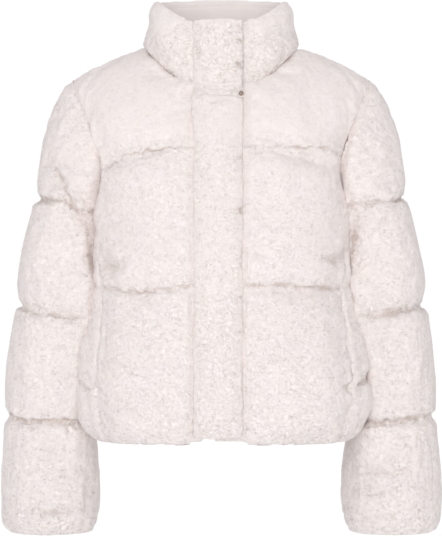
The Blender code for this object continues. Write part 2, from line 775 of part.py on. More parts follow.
def wall_object(name, inner, outer, wrap, material):
    """A closed wall between two grids of the same size."""
    rows, columns = inner.shape[:2]
    count = rows * columns
    across = columns if wrap else columns - 1
    points = np.concatenate([inner.reshape(-1, 3), outer.reshape(-1, 3)])
    faces = []

    def at(layer, r, c):
        return layer * count + r * columns + c % columns

    def edge_wall(first, second, reverse):
        """Two triangles across the wall, cut the same way on both sides of a seam."""
        a, b = at(0, *first), at(0, *second)
        c, d = at(1, *second), at(1, *first)
        near = inner[first[0], first[1] % columns].dot(DIAGONAL_RULE)
        far = inner[second[0], second[1] % columns].dot(DIAGONAL_RULE)
        pair = [(a, b, c), (a, c, d)] if near < far else [(a, b, d), (b, c, d)]
        faces.extend([face[::-1] for face in pair] if reverse else pair)

    def sheet(a, b, c, d):
        """Two triangles cut along the shorter diagonal."""
        if np.linalg.norm(points[a] - points[c]) < np.linalg.norm(points[b] - points[d]):
            faces.extend([(a, b, c), (a, c, d)])
        else:
            faces.extend([(a, b, d), (b, c, d)])

    for r in range(rows - 1):
        for c in range(across):
            sheet(at(1, r, c), at(1, r, c + 1), at(1, r + 1, c + 1), at(1, r + 1, c))
            sheet(at(0, r, c), at(0, r + 1, c), at(0, r + 1, c + 1), at(0, r, c + 1))
    for c in range(across):
        edge_wall((0, c), (0, c + 1), False)
        edge_wall((rows - 1, c), (rows - 1, c + 1), True)
    if not wrap:
        for r in range(rows - 1):
            edge_wall((r, 0), (r + 1, 0), True)
            edge_wall((r, columns - 1), (r + 1, columns - 1), False)
    return add_object(name, points, faces, material)


def cloth(name, colour, roughness, metallic=0.0):
    material = bpy.data.materials.new(name)
    material.use_nodes = True
    shader = material.node_tree.nodes["Principled BSDF"]
    shader.inputs["Base Color"].default_value = colour
    shader.inputs["Roughness"].default_value = roughness
    shader.inputs["Metallic"].default_value = metallic
    return material


# Panels


def front_columns(side):
    """Fixed columns of a front: its edge, the fly's edge and the foot of the padding beside it."""
    if side > 0:
        beside = [FLY_FREE_X + FLY_GROOVE, FLY_FREE_X + FLY_FOOT, BESIDE_FLY_LEFT_X]
        return [ZIP_LEFT_X, FLY_MIDDLE_X, FLY_FREE_X] + beside
    beside = [-FLY_SEAM_X + FLY_GROOVE, -FLY_SEAM_X + FLY_FOOT, -BESIDE_FLY_RIGHT_X]
    return [-ZIP_RIGHT_X, -FLY_SEAM_X] + beside


def lining_grids():
    """The inner surface of every panel. Rows rise, and columns run so that normals point out."""
    left = half_panel(1, True, front_columns(1), EVEN_NECK_FRONT)
    right = half_panel(-1, True, front_columns(-1), EVEN_NECK_FRONT)
    back_left = half_panel(1, False, [0.0], EVEN_NECK_BACK)
    back_right = half_panel(-1, False, [0.0], EVEN_NECK_BACK)
    back = np.concatenate([back_left[:, ::-1], back_right[:, 1:]], axis=1)
    neck_left = len(front_columns(1)) + EVEN_NECK_FRONT
    neck_right = len(front_columns(-1)) + EVEN_NECK_FRONT
    shoulder = EVEN_SHOULDER + len(SEAM_STEPS)
    base = np.concatenate(
        [left[-1, :neck_left], back[-1, shoulder + 1 : -shoulder], right[-1, : neck_right - 1][::-1]]
    )
    grids = {
        "front_left": (left, False),
        "front_right": (right[:, ::-1], False),
        "back": (back, False),
        "collar": (collar_grid(base), False),
    }
    for name, side in (("sleeve_left", 1), ("sleeve_right", -1)):
        rising = sleeve_grid(side)[::-1]
        grids[name] = (rising[:, ::-1] if side > 0 else rising, True)
    return grids


def sleeve_wall(grid, side, tree, normals):
    """Wall thickness of a sleeve: cuff end, quilting lines, armhole, and thinner by the body."""
    last = len(grid) - 1
    cap_rows = 2 * len(SEAM_STEPS) + EVEN_CAP
    ring_rows = 2 * len(SEAM_STEPS) + EVEN_RINGS
    quilt = line_distances(grid, [last - cap_rows - ring_rows * line for line in range(3)])
    armhole_gap = line_distances(grid, [last])
    cuff = line_distances(grid, [0])
    wall = np.zeros(grid.shape[:2])
    for r in range(grid.shape[0]):
        centre = grid[r].mean(axis=0)
        for c in range(grid.shape[1]):
            inward = max(0.0, -side * normals[r, c][0])
            thin = min(1.0, THIN_INWARD * inward)
            if grid[r, c][2] < HEM_Z - HEM_FADE:
                thin = THIN_BELOW_HEM * inward
            pad = PAD + (PAD_UNDER_ARM - PAD) * thin
            squeezed = under_arm(grid[r, c])
            pad += (PAD - pad) * squeezed
            full = pad * (CUFF_FILL + (1 - CUFF_FILL) * rise(cuff[r, c], EDGE_ROUND))
            up = puff(quilt[r, c]) * rise(armhole_gap[r, c], EDGE_ROUND)
            height = SEAM_WALL + (full - SEAM_WALL) * max(up, squeezed)
            if r == 0:
                height = HEM_WALL
            wall[r, c] = SEAM_WALL if r == last else room(tree, grid[r, c], normals[r, c], height)
    return wall


def collar_wall(grid, tree, normals, flat_left, flat_right):
    """Wall thickness of the collar: neck seam, full middle, rounded rim, flat under the fly."""
    last_column = grid.shape[1] - 1
    wall = np.zeros(grid.shape[:2])
    for c in range(grid.shape[1]):
        total = lengths(grid[:, c])
        beside = min(
            np.linalg.norm(grid[0, c] - grid[0, flat_left]),
            np.linalg.norm(grid[0, c] - grid[0, flat_right]),
        )
        for r in range(grid.shape[0]):
            up = rise(total[r], EDGE_ROUND) * rise(beside, EDGE_ROUND)
            rim = rise(total[-1] - total[r], RIM_ROUND)
            full = RIM_WALL + (PAD - RIM_WALL) * rim
            height = SEAM_WALL + (full - SEAM_WALL) * up
            if c <= flat_left or c >= flat_right:
                height = FLAT_WALL
            on_seam = r == 0 or c in (0, last_column)
            wall[r, c] = height if on_seam else room(tree, grid[r, c], normals[r, c], height)
    return wall


def make_panels(grids, normals, materials):
    """Fronts, back, sleeves, collar and collar lining."""
    tree = sample_tree(grids)
    fly_left = front_columns(1).index(FLY_FREE_X + FLY_GROOVE)
    fly_right = front_columns(-1).index(-FLY_SEAM_X + FLY_GROOVE)
    for name in ("front_left", "front_right", "back"):
        grid = grids[name][0]
        last = grid.shape[1] - 1
        if name == "back":
            wall = body_wall(grid, (0, last), tree, normals[name])
        elif name == "front_left":
            wall = front_wall(grid, normals[name], tree, fly_left)
        else:
            wall = front_wall(grid[:, ::-1], normals[name][:, ::-1], tree, fly_right)[:, ::-1]
        move = inset(grid, normals[name], False, ("last_row",))
        outer = grid + normals[name] * wall[..., None]
        wall_object(name, grid + move, outer + move, False, materials["fleece"])
    for name, side in (("sleeve_left", 1), ("sleeve_right", -1)):
        grid = grids[name][0]
        wall = sleeve_wall(grid, side, tree, normals[name])
        move = CURVED_SET_BACK * inset(grid, normals[name], True, ("last_row",))
        outer = grid + normals[name] * wall[..., None]
        wall_object(name, grid + move, outer + move, True, materials["fleece"])
    grid = grids["collar"][0]
    wall = collar_wall(grid, tree, normals["collar"], fly_left, grid.shape[1] - 1 - fly_right)
    move = CURVED_SET_BACK * inset(grid, normals["collar"], False, ("first_row",))
    outer = grid + normals["collar"] * wall[..., None]
    inner = grid + normals["collar"] * (COLLAR_LINING + 2 * HALF_GAP)
    wall_object("collar", inner + move, outer + move, False, materials["fleece"])
    lining = grid[:-1] + move[:-1]
    lining_out = lining + normals["collar"][:-1] * COLLAR_LINING
    wall_object("collar_lining", lining, lining_out, False, materials["lining"])


def front_wall(grid, normals, tree, fly_column):
    """A front's wall: its padding starts at the fly's edge and sinks again at side and armhole."""
    last = grid.shape[1] - 1
    return body_wall(grid, (fly_column, last), tree, normals, fly_column)


def fly_strip(grids, normals):
    """Points and normals of both fronts and the collar under the fly, from hem to rim."""
    left_columns = front_columns(1).index(FLY_FREE_X) + 1
    right_columns = front_columns(-1).index(-FLY_SEAM_X) + 1
    strips = []
    for values in ({name: grid for name, (grid, _) in grids.items()}, normals):
        right = values["front_right"][:, -right_columns:]
        left = values["front_left"][:, :left_columns]
        body = np.concatenate([right, left], axis=1)
        collar = values["collar"]
        top = np.concatenate([collar[:, -right_columns:], collar[:, :left_columns]], axis=1)
        strips.append(np.concatenate([body, top[1:]]))
    return strips[0], strips[1], right_columns


def make_fly(grids, normals, materials):
    """The fly in two lengths, the zip tape behind it and the press stud on its free edge."""
    points, out, right_columns = fly_strip(grids, normals)
    body_rows = grids["front_left"][0].shape[0]
    join = body_rows - 1 - len(TOP_STEPS)
    start = len(HEM_STEPS) - 1
    columns = points.shape[1]
    edge = np.array([FLY_EDGE_WALL] + [FLY_WALL] * (columns - 2) + [FLY_EDGE_WALL])
    inner = points + out * (FLAT_WALL + 2 * HALF_GAP)
    outer = points + out * (FLAT_WALL + 2 * HALF_GAP + edge[None, :, None])
    for name, rows in (("fly_front", slice(start, join + 1)), ("fly_collar", slice(join, len(points)))):
        move = inset(points[rows], out[rows], False, ("first_row", "last_row"))
        wall_object(name, inner[rows] + move, outer[rows] + move, False, materials["fleece"])
    rows = slice(start + 1, len(points) - 1)
    right = points[rows, right_columns - 1]
    left = points[rows, right_columns]
    facing = (out[rows, right_columns - 1] + out[rows, right_columns]) / 2
    tape = np.stack([right, (right + left) / 2, left], axis=1)
    tape_normals = np.stack([facing] * 3, axis=1)
    move = inset(tape, tape_normals, False, ())
    tape = tape + move
    coil = np.array([0.0, ZIP_COIL, 0.0])[None, :, None]
    low = tape + tape_normals * ZIP_DEPTH
    high = tape + tape_normals * (ZIP_DEPTH + ZIP_WALL + coil)
    wall_object("zip_tape", low, high, False, materials["tape"])
    edge, inside = outer[join : join + 2, -1], outer[join : join + 2, -2]
    up = (edge[1] - edge[0]) * STUD_RISE / np.linalg.norm(edge[1] - edge[0])
    make_stud(edge[0] + up, inside[0] + up, out[join, -1], materials["metal"])


def make_stud(edge, inner, normal, material):
    """The press stud's cap, standing on the fly's face just inside the free edge."""
    inward = (inner - edge) / np.linalg.norm(inner - edge)
    out = normal - inward * normal.dot(inward)
    out = out / np.linalg.norm(out)
    up = np.cross(out, inward)
    centre = edge + inward * STUD_INSET + out * STUD_GAP
    sides = STUD_SIDES
    rings = STUD_PROFILE
    points = []
    for radius, height in rings:
        for index in range(sides):
            angle = 2 * math.pi * index / sides
            spoke = inward * math.cos(angle) + up * math.sin(angle)
            points.append(centre + spoke * STUD_RADIUS * radius + out * STUD_HEIGHT * height)
    faces = []
    for ring in range(len(rings) - 1):
        for index in range(sides):
            after = (index + 1) % sides
            low = ring * sides
            faces.append((low + index, low + after, low + sides + after, low + sides + index))
    faces.append(tuple(range(sides))[::-1])
    faces.append(tuple(range(2 * sides, 3 * sides)))
    add_object("press_stud", points, faces, material)


def clear_scene():
    for obj in list(bpy.data.objects):
        bpy.data.objects.remove(obj, do_unlink=True)


def main():
    clear_scene()
    materials = {
        "fleece": cloth("fleece", FLEECE, 0.95),
        "lining": cloth("lining", LINING_CLOTH, 0.7),
        "metal": cloth("metal", METAL, 0.4, 0.8),
        "tape": cloth("tape", TAPE, 0.8),
    }
    grids = lining_grids()
    normals = vertex_normals(grids)
    make_panels(grids, normals, materials)
    make_fly(grids, normals, materials)


main()
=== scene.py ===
import math
import bpy
import numpy as np
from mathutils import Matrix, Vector
from mathutils.bvhtree import BVHTree


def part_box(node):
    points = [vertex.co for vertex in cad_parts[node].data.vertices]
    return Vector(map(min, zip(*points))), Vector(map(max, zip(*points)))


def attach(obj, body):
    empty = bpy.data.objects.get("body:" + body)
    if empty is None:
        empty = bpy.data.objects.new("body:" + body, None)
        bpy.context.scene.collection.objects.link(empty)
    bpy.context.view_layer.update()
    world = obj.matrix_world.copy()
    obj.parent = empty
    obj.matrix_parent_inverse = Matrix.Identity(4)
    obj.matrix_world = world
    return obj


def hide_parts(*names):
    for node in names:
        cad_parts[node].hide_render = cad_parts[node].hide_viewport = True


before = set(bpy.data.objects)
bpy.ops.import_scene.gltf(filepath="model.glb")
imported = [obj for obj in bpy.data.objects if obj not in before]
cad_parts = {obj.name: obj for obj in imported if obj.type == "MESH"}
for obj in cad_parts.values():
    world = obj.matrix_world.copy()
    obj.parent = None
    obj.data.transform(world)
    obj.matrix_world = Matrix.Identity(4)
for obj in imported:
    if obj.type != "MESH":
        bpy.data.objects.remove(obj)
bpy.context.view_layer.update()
scene = bpy.context.scene
scene.view_settings.view_transform = "Standard"


# ---- camera, floor and light

studio = {
    "cameraPlace": (0.0, -3.0, -0.31),
    "lens": 141.9,          # the photograph's frame is 0.627 x 0.761 m at the jacket
    "roomLight": 0.655,     # what the white room adds from all sides
    "background": 1.02,
    "keyPower": 57.0,       # a large soft panel just over the camera
    "fillPower": 11.0,
    "backPower": 40.0,
    "floorZ": -1.42,        # the wearer's feet
    "floorSize": 8.0,
    "floorGlow": 0.12,      # lifts the floor to the room's white
}

camera = bpy.data.objects.new("camera", bpy.data.cameras.new("camera"))
scene.collection.objects.link(camera)
camera.location = studio["cameraPlace"]
camera.rotation_euler = (math.radians(90), 0, 0)
camera.data.lens = studio["lens"]
camera.data.sensor_width = 36
camera.data.clip_end = 60
scene.camera = camera

world = bpy.data.worlds.new("studio")
scene.world = world
world.use_nodes = True
sky = world.node_tree.nodes["Background"]
sky.inputs["Color"].default_value = (1.0, 1.0, 1.0, 1.0)
seen = world.node_tree.nodes.new("ShaderNodeLightPath")     # the room looks white behind the jacket
level = world.node_tree.nodes.new("ShaderNodeMapRange")
level.inputs["To Min"].default_value = studio["roomLight"]
level.inputs["To Max"].default_value = studio["background"]
world.node_tree.links.new(seen.outputs["Is Camera Ray"], level.inputs["Value"])
world.node_tree.links.new(level.outputs["Result"], sky.inputs["Strength"])


def addPanelLight(name, place, target, size, power):
    light = bpy.data.lights.new(name, "AREA")
    light.shape = "RECTANGLE"
    light.size, light.size_y = size
    light.energy = power
    lamp = bpy.data.objects.new(name, light)
    scene.collection.objects.link(lamp)
    lamp.location = place
    lamp.rotation_euler = (Vector(target) - Vector(place)).to_track_quat("-Z", "Y").to_euler()


addPanelLight("softKey", (-0.7, -4.0, 0.5), (0, 0, -0.32), (2.6, 2.2), studio["keyPower"])
addPanelLight("softBack", (0.5, 4.0, 0.6), (0, 0, -0.3), (2.6, 2.2), studio["backPower"])
addPanelLight("softFill", (1.9, -3.2, -0.3), (0, 0, -0.35), (1.6, 2.0), studio["fillPower"])


# ---- shader maths

class Field:            # a number that changes over a surface
    def __init__(self, tree, socket):
        self.tree = tree
        self.socket = socket

    def work(self, operation, other=None, flip=False, clamp=False):
        node = self.tree.nodes.new("ShaderNodeMath")
        node.operation = operation
        node.use_clamp = clamp
        pair = [self, other]
        if flip:
            pair.reverse()
        for index, part in enumerate(pair):
            if isinstance(part, Field):
                self.tree.links.new(part.socket, node.inputs[index])
            elif part is not None:
                node.inputs[index].default_value = part
        return Field(self.tree, node.outputs[0])

    def __add__(self, other): return self.work("ADD", other)
    def __radd__(self, other): return self.work("ADD", other, flip=True)
    def __sub__(self, other): return self.work("SUBTRACT", other)
    def __rsub__(self, other): return self.work("SUBTRACT", other, flip=True)
    def __mul__(self, other): return self.work("MULTIPLY", other)
    def __rmul__(self, other): return self.work("MULTIPLY", other, flip=True)
    def __abs__(self): return self.work("ABSOLUTE")

    def held(self):     # kept between 0 and 1
        return self.work("ADD", 0.0, clamp=True)


class Finish:           # one material and its nodes
    def __init__(self, name):
        self.material = bpy.data.materials.new(name)
        self.material.use_nodes = True
        self.tree = self.material.node_tree
        self.shader = self.tree.nodes["Principled BSDF"]

    def add(self, kind, settings=None, sockets=None):
        node = self.tree.nodes.new(kind)
        for key, value in (settings or {}).items():
            setattr(node, key, value)
        for key, value in (sockets or {}).items():
            self.feed(node.inputs[key], value)
        return node

    def feed(self, socket, value):
        if isinstance(value, Field):
            value = value.socket
        if isinstance(value, bpy.types.NodeSocket):
            self.tree.links.new(value, socket)
        else:
            socket.default_value = value

    def field(self, node, output):
        return Field(self.tree, node.outputs[output])

    def place(self):
        return self.add("ShaderNodeTexCoord").outputs["Object"]

    def attribute(self, name):
        node = self.add("ShaderNodeAttribute", {"attribute_name": name})
        return self.field(node, "Fac")

    def noise(self, place, scale, detail, twist=0.0):
        sockets = {"Vector": place, "Scale": scale, "Detail": detail, "Distortion": twist}
        return self.add("ShaderNodeTexNoise", None, sockets)

    def noiseField(self, *choices, **more):
        return self.field(self.noise(*choices, **more), "Fac")

    def warped(self, place, scale, reach):      # the place, pushed about by a noise
        noise = self.noise(place, scale, 2.0)
        middle = (0.5, 0.5, 0.5)
        centred = self.add("ShaderNodeVectorMath", {"operation": "SUBTRACT"}, {0: noise.outputs["Color"], 1: middle})
        sized = self.add("ShaderNodeVectorMath", {"operation": "SCALE"}, {0: centred.outputs[0], "Scale": reach})
        moved = self.add("ShaderNodeVectorMath", {"operation": "ADD"}, {0: place, 1: sized.outputs[0]})
        return moved.outputs[0]

    def mixed(self, share, first, second):
        node = self.add("ShaderNodeMix", {"data_type": "RGBA"})
        self.feed(node.inputs[0], share)
        self.feed(node.inputs[6], first)
        self.feed(node.inputs[7], second)
        return node.outputs[2]

    def bumped(self, height, distance, strength=1.0):
        node = self.add("ShaderNodeBump", None, {"Strength": strength, "Distance": distance})
        self.feed(node.inputs["Height"], height)
        return node.outputs["Normal"]


def makeFleece(name, look):     # curled loops: pale, with painted shade in the short creases and hollows between them
    finish = Finish(name)
    place = finish.warped(finish.place(), look["warpScale"], look["warpReach"])
    wide = finish.add("ShaderNodeMapping", None, {"Vector": place, "Scale": (1.0, 1.0, look["flatten"])}).outputs[0]
    cells = finish.add("ShaderNodeTexVoronoi", {"feature": "F1"}, {"Vector": place, "Scale": look["curlScale"]})
    curl = finish.field(cells, "Distance")
    kinks = finish.noiseField(wide, look["kinkScale"], 2.0, twist=look["kinkTwist"])
    kink = (1.0 - abs(kinks - 0.5) * look["kinkThin"]).held()
    patch = (finish.noiseField(finish.place(), look["patchScale"], 2.0) * 3.0 - 1.0).held()
    grain = finish.noiseField(place, look["grainScale"], 1.0) - 0.5
    sparse = (finish.noiseField(place, look["sparseScale"], 1.0) * 4.0 - 1.6).held()     # only some creases show
    pile = finish.attribute("pile")         # 0 between the tufts, 1 on them
    rough = finish.attribute("rough")       # 0 where the pile is brushed smooth
    seam = finish.attribute("seam")         # painted shade along seams and folds, 1 at its darkest
    curly = rough * 0.75 + 0.25             # brushed pile still shows a little
    # painted shade: in short creases between the loops, in hollows between the tufts, over the brushed pile, and along
    # seams and folds
    crease = kink * sparse * (patch * 0.3 + 0.7) * look["kinkShade"]
    hollow = (((curl - 0.5) * 3.0).held() * 0.4 + (1.0 - pile)) * look["gapShade"]
    calm = (1.0 - rough) * look["calmShade"]
    seamShadow = seam * look["seamShade"] * (kink * 0.35 + 0.65)
    dark = ((crease + hollow + grain * look["grainShade"]) * curly + calm + seamShadow).held()
    # the painted shade darkens the colour towards root
    colour = finish.mixed(dark, finish.mixed(patch, look["tip"], look["patch"]), look["root"])
    finish.feed(finish.shader.inputs["Base Color"], colour)
    finish.shader.inputs["Roughness"].default_value = look["roughness"]
    finish.shader.inputs["Specular IOR Level"].default_value = look["specular"]
    finish.shader.inputs["Sheen Weight"].default_value = look["sheen"]
    finish.shader.inputs["Sheen Roughness"].default_value = look["sheenRoughness"]
    height = ((1.0 - curl * curl) * 0.5 - kink * 0.7) * curly
    finish.feed(finish.shader.inputs["Normal"], finish.bumped(height, look["bump"], look["bumpStrength"]))
    return finish.material


def makeInsideCloth(look):      # smooth lining cloth with soft folds
    finish = Finish("insideCloth")
    place = finish.place()
    weave = finish.noiseField(place, look["weaveScale"], 1.0)
    fold = finish.noiseField(place, look["foldScale"], 3.0)
    colour = finish.mixed((fold + weave - 0.5).held(), look["shade"], look["light"])
    finish.feed(finish.shader.inputs["Base Color"], colour)
    finish.shader.inputs["Roughness"].default_value = look["roughness"]
    height = weave * 0.1 + fold
    finish.feed(finish.shader.inputs["Normal"], finish.bumped(height, look["bump"], look["bumpStrength"]))
    return finish.material


bodyLook = {        # scales are cells or waves to a metre, reach and bump are metres
    "warpScale": 110.0, "warpReach": 0.005, "flatten": 1.7, "curlScale": 240.0,
    "kinkScale": 225.0, "kinkTwist": 1.6, "kinkThin": 30.0,
    "patchScale": 42.0, "grainScale": 700.0, "sparseScale": 150.0,
    "kinkShade": 0.84, "gapShade": 0.06, "grainShade": 0.44, "seamShade": 0.85, "calmShade": 0.08,
    "bump": 0.0006, "bumpStrength": 0.8,
    "roughness": 0.95, "specular": 0.15, "sheen": 0.2, "sheenRoughness": 0.5,
    # root is the colour of the painted shade in creases, hollows and seams
    "tip": (0.93, 0.855, 0.834, 1.0), "root": (0.48, 0.36, 0.30, 1.0), "patch": (0.918, 0.852, 0.842, 1.0),
}
collarLook = {      # coarser curls
    **bodyLook, "warpScale": 90.0, "warpReach": 0.006, "curlScale": 200.0, "kinkScale": 205.0, "kinkThin": 28.0,
    "kinkShade": 0.95, "gapShade": 0.08, "grainShade": 0.46, "seamShade": 0.80, "calmShade": 0.04,
    # root is the colour of the painted shade in creases, hollows and seams
    "tip": (0.93, 0.858, 0.835, 1.0), "root": (0.48, 0.37, 0.32, 1.0), "patch": (0.918, 0.855, 0.84, 1.0),
}
liningLook = {
    "weaveScale": 900.0, "foldScale": 28.0, "roughness": 0.6, "bump": 0.0015, "bumpStrength": 0.4,
    "shade": (0.885, 0.812, 0.798, 1.0), "light": (0.920, 0.855, 0.840, 1.0),
}
bodyFleece = makeFleece("bodyFleece", bodyLook)
sleeveFleece = makeFleece("sleeveFleece", {**bodyLook, "kinkShade": 1.0, "gapShade": 0.08})
collarFleece = makeFleece("collarFleece", collarLook)
insideCloth = makeInsideCloth(liningLook)
print("finishes made")


# ---- tools for the cloth pieces

def deselectAll():
    for item in bpy.context.selected_objects:
        item.select_set(False)


def pickOnly(piece):
    deselectAll()
    piece.select_set(True)
    bpy.context.view_layer.objects.active = piece


def readPlaces(mesh):
    flat = np.empty(len(mesh.vertices) * 3, np.float32)
    mesh.vertices.foreach_get("co", flat)
    return flat.reshape(-1, 3).astype(float)


def writePlaces(mesh, places):
    mesh.vertices.foreach_set("co", places.astype(np.float32).ravel())
    mesh.update()


def readNormals(mesh):
    flat = np.empty(len(mesh.vertices) * 3, np.float32)
    mesh.vertices.foreach_get("normal", flat)
    return flat.reshape(-1, 3).astype(float)


def setGroup(piece, name, weights):     # a vertex group, with its weights rounded to a few levels
    old = piece.vertex_groups.get(name)
    if old:
        piece.vertex_groups.remove(old)
    group = piece.vertex_groups.new(name=name)
    levels = 20
    steps = np.round(np.clip(weights, 0, 1) * levels).astype(int)
    for step in range(1, levels + 1):
        chosen = np.flatnonzero(steps == step)
        if len(chosen):
            group.add(chosen.tolist(), step / levels, "REPLACE")


def readGroup(piece, name):
    index = piece.vertex_groups[name].index
    weights = np.zeros(len(piece.data.vertices))
    for vertex in piece.data.vertices:
        for entry in vertex.groups:
            if entry.group == index:
                weights[vertex.index] = entry.weight
    return weights


def saveField(piece, name, values):      # a number at each point, for the shader
    attribute = piece.data.attributes.new(name, "FLOAT", "POINT")
    attribute.data.foreach_set("value", np.asarray(values, np.float32))


def applyModifier(piece, kind, **settings):
    pickOnly(piece)
    modifier = piece.modifiers.new(kind.lower(), kind)
    for key, value in settings.items():
        setattr(modifier, key, value)
    bpy.ops.object.modifier_apply(modifier=modifier.name)


def ease(value, low, high):
    share = np.clip((value - low) / (high - low), 0, 1)
    return share * share * (3 - 2 * share)


joining = {     # how a CAD piece's triangles are joined again
    "apart": 0.00002, "flatAngle": math.radians(50), "squareAngle": math.radians(60),
    "sharpAngle": math.radians(50), "edgeHold": 0.9,
}


def copyNode(node, name):       # a smooth copy of a CAD piece
    piece = bpy.data.objects.new(name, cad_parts[node].data.copy())
    scene.collection.objects.link(piece)
    piece.data.materials.clear()
    pickOnly(piece)
    bpy.ops.object.mode_set(mode="EDIT")
    bpy.ops.mesh.select_all(action="SELECT")
    bpy.ops.mesh.remove_doubles(threshold=joining["apart"])
    bpy.ops.mesh.tris_convert_to_quads(face_threshold=joining["flatAngle"], shape_threshold=joining["squareAngle"])
    bpy.ops.mesh.select_all(action="DESELECT")
    bpy.ops.mesh.edges_select_sharp(sharpness=joining["sharpAngle"])
    bpy.ops.transform.edge_crease(value=joining["edgeHold"])
    bpy.ops.object.mode_set(mode="OBJECT")
    return piece


wearer = {"halfWidth": 0.10, "shoulderZ": -0.13, "neckShare": 0.25}


def outwardFrom(places, skeleton):
    # direction away from the wearer: from a flat plate in the body, a core in the neck, or a line in an arm
    if skeleton == "body":
        across = np.clip(places[:, 0], -wearer["halfWidth"], wearer["halfWidth"])
        near = np.stack([across, places[:, 1] * 0, np.minimum(places[:, 2], wearer["shoulderZ"])], axis=1)
    elif skeleton == "neck":
        near = places * (wearer["neckShare"], wearer["neckShare"], 1.0)
    else:
        best = np.full(len(places), 1e9)
        near = np.zeros_like(places)
        for start, end in zip(skeleton, skeleton[1:]):
            start, end = np.array(start), np.array(end)
            share = np.clip((places - start) @ (end - start) / np.sum((end - start) ** 2), 0, 1)
            spot = start + share[:, None] * (end - start)
            away = np.linalg.norm(places - spot, axis=1)
            closer = away < best
            best[closer] = away[closer]
            near[closer] = spot[closer]
    away = places - near
    return away / np.maximum(np.linalg.norm(away, axis=1, keepdims=True), 1e-6)


thickest = 0.02         # a wall's thickness that counts as full
probe = {"start": 0.0004, "reach": 0.03}


def wallThickness(piece):
    tree = BVHTree.FromPolygons([v.co for v in piece.data.vertices], [p.vertices[:] for p in piece.data.polygons])
    found = np.full(len(piece.data.vertices), thickest)
    for vertex in piece.data.vertices:
        hit = tree.ray_cast(vertex.co - vertex.normal * probe["start"], -vertex.normal, probe["reach"])
        if hit[0] is not None:
            found[vertex.index] = hit[3]
    return found


clothSettings = {
    "quality": 3, "mass": 0.2, "tension_stiffness": 12, "compression_stiffness": 8, "shear_stiffness": 4,
    "bending_stiffness": 0.4, "use_pressure": True,
    "shrink_min": -0.03,        # a little more cloth than filling, so it puckers
}
clothFrames = 8


def puffUp(piece, pressure, cap):       # cloth under pressure, held at its seams and at its inner side
    pickOnly(piece)
    before = readPlaces(piece.data)
    cloth = piece.modifiers.new("cloth", "CLOTH")
    for key, value in clothSettings.items():
        setattr(cloth.settings, key, value)
    cloth.settings.uniform_pressure_force = pressure
    cloth.settings.effector_weights.gravity = 0
    cloth.settings.vertex_group_mass = "held"
    cloth.collision_settings.use_collision = False
    cloth.collision_settings.use_self_collision = False
    cloth.point_cache.frame_start = 1
    cloth.point_cache.frame_end = clothFrames
    for step in range(1, clothFrames + 1):
        scene.frame_set(step)
    bpy.ops.object.modifier_apply(modifier=cloth.name)
    scene.frame_set(1)
    move = readPlaces(piece.data) - before
    size = np.linalg.norm(move, axis=1, keepdims=True)
    move *= np.minimum(1.0, cap / np.maximum(size, 1e-9))
    writePlaces(piece.data, before + move)


def lineDistance(flatPlaces, line):     # distance to a line drawn in the x, z plane, and the share along it
    best = np.full(len(flatPlaces), 1e9)
    along = np.zeros(len(flatPlaces))
    total = 0.0
    for start, end in zip(line, line[1:]):
        start, end = np.array(start), np.array(end)
        share = np.clip((flatPlaces - start) @ (end - start) / np.sum((end - start) ** 2), 0, 1)
        away = np.linalg.norm(flatPlaces - (start + share[:, None] * (end - start)), axis=1)
        closer = away < best
        best[closer] = away[closer]
        along[closer] = (total + share * np.linalg.norm(end - start))[closer]
        total += np.linalg.norm(end - start)
    return best, along / total


def smoothNoise(places, size, seed):    # soft lumps between -1 and 1, from a few turned waves
    rng = np.random.default_rng(seed)
    total = np.zeros(len(places))
    for _ in range(10):
        direction = rng.normal(size=3)
        direction /= np.linalg.norm(direction)
        wave = 2 * math.pi / (size * rng.uniform(0.75, 1.5))
        total += np.sin(places @ direction * wave + rng.uniform(0, 2 * math.pi))
    return total / 3.2      # ten waves seldom pass this


pressing = {
    "crinkle": 0.0016, "crinkleSize": 0.013,        # how far a line strays
    "swell": 0.35, "swellPlace": 2.2,               # the padding beside a pressed line, in its widths
    "ends": (0.10, 0.80),                           # a line fades towards its ends
    "shadeWidth": 0.7, "curlReach": 0.013,
}


def pressCreases(piece, creases, outside):      # stitched lines and folds; gives each point's shade and curl there
    places = readPlaces(piece.data)
    normals = readNormals(piece.data)
    move = np.zeros(len(places))
    shade = np.zeros(len(places))
    curly = np.zeros(len(places))       # the pile stands up beside a stitched line
    size = pressing["crinkleSize"]
    crinkle = np.stack([smoothNoise(places, size, 11), smoothNoise(places, size, 12)], axis=1) * pressing["crinkle"]
    low, reach = pressing["ends"]
    for crease in creases:
        away, along = lineDistance(places[:, [0, 2]] + crinkle, crease["line"])
        side = crease.get("side", "front")
        facing = {"front": -normals[:, 1], "back": normals[:, 1], "around": np.ones(len(places))}[side]
        width = crease["width"] * (1 + 0.3 * smoothNoise(places, 0.05, 7))
        trough = np.exp(-((away / width) ** 2))
        if crease["depth"] > 0:
            trough -= pressing["swell"] * np.exp(-(((away - pressing["swellPlace"] * width) / width) ** 2))
        fade = np.sin(np.pi * np.clip(low + reach * along, 0, 1)) ** 0.5 * ease(facing, -0.1, 0.35)
        move -= crease["depth"] * trough * fade
        line = np.exp(-((away / (pressing["shadeWidth"] * width)) ** 2)) * fade
        line *= 0.75 + 0.35 * smoothNoise(places, 0.03, 13)
        shade = np.maximum(shade, line * crease["shade"])
        curly = np.maximum(curly, np.exp(-((away / pressing["curlReach"]) ** 2)) * fade * crease["shade"])
    writePlaces(piece.data, places + normals * (move * outside)[:, None])
    return shade * outside, curly * outside


def pullOut(piece, pulls):      # soft pulls, each fading out round its middle
    places = readPlaces(piece.data)
    move = np.zeros_like(places)
    for pull in pulls:
        away = (places - np.array(pull["at"])) / np.array(pull["size"])
        move += np.exp(-np.sum(away * away, axis=1))[:, None] * np.array(pull["push"])
    writePlaces(piece.data, places + move)


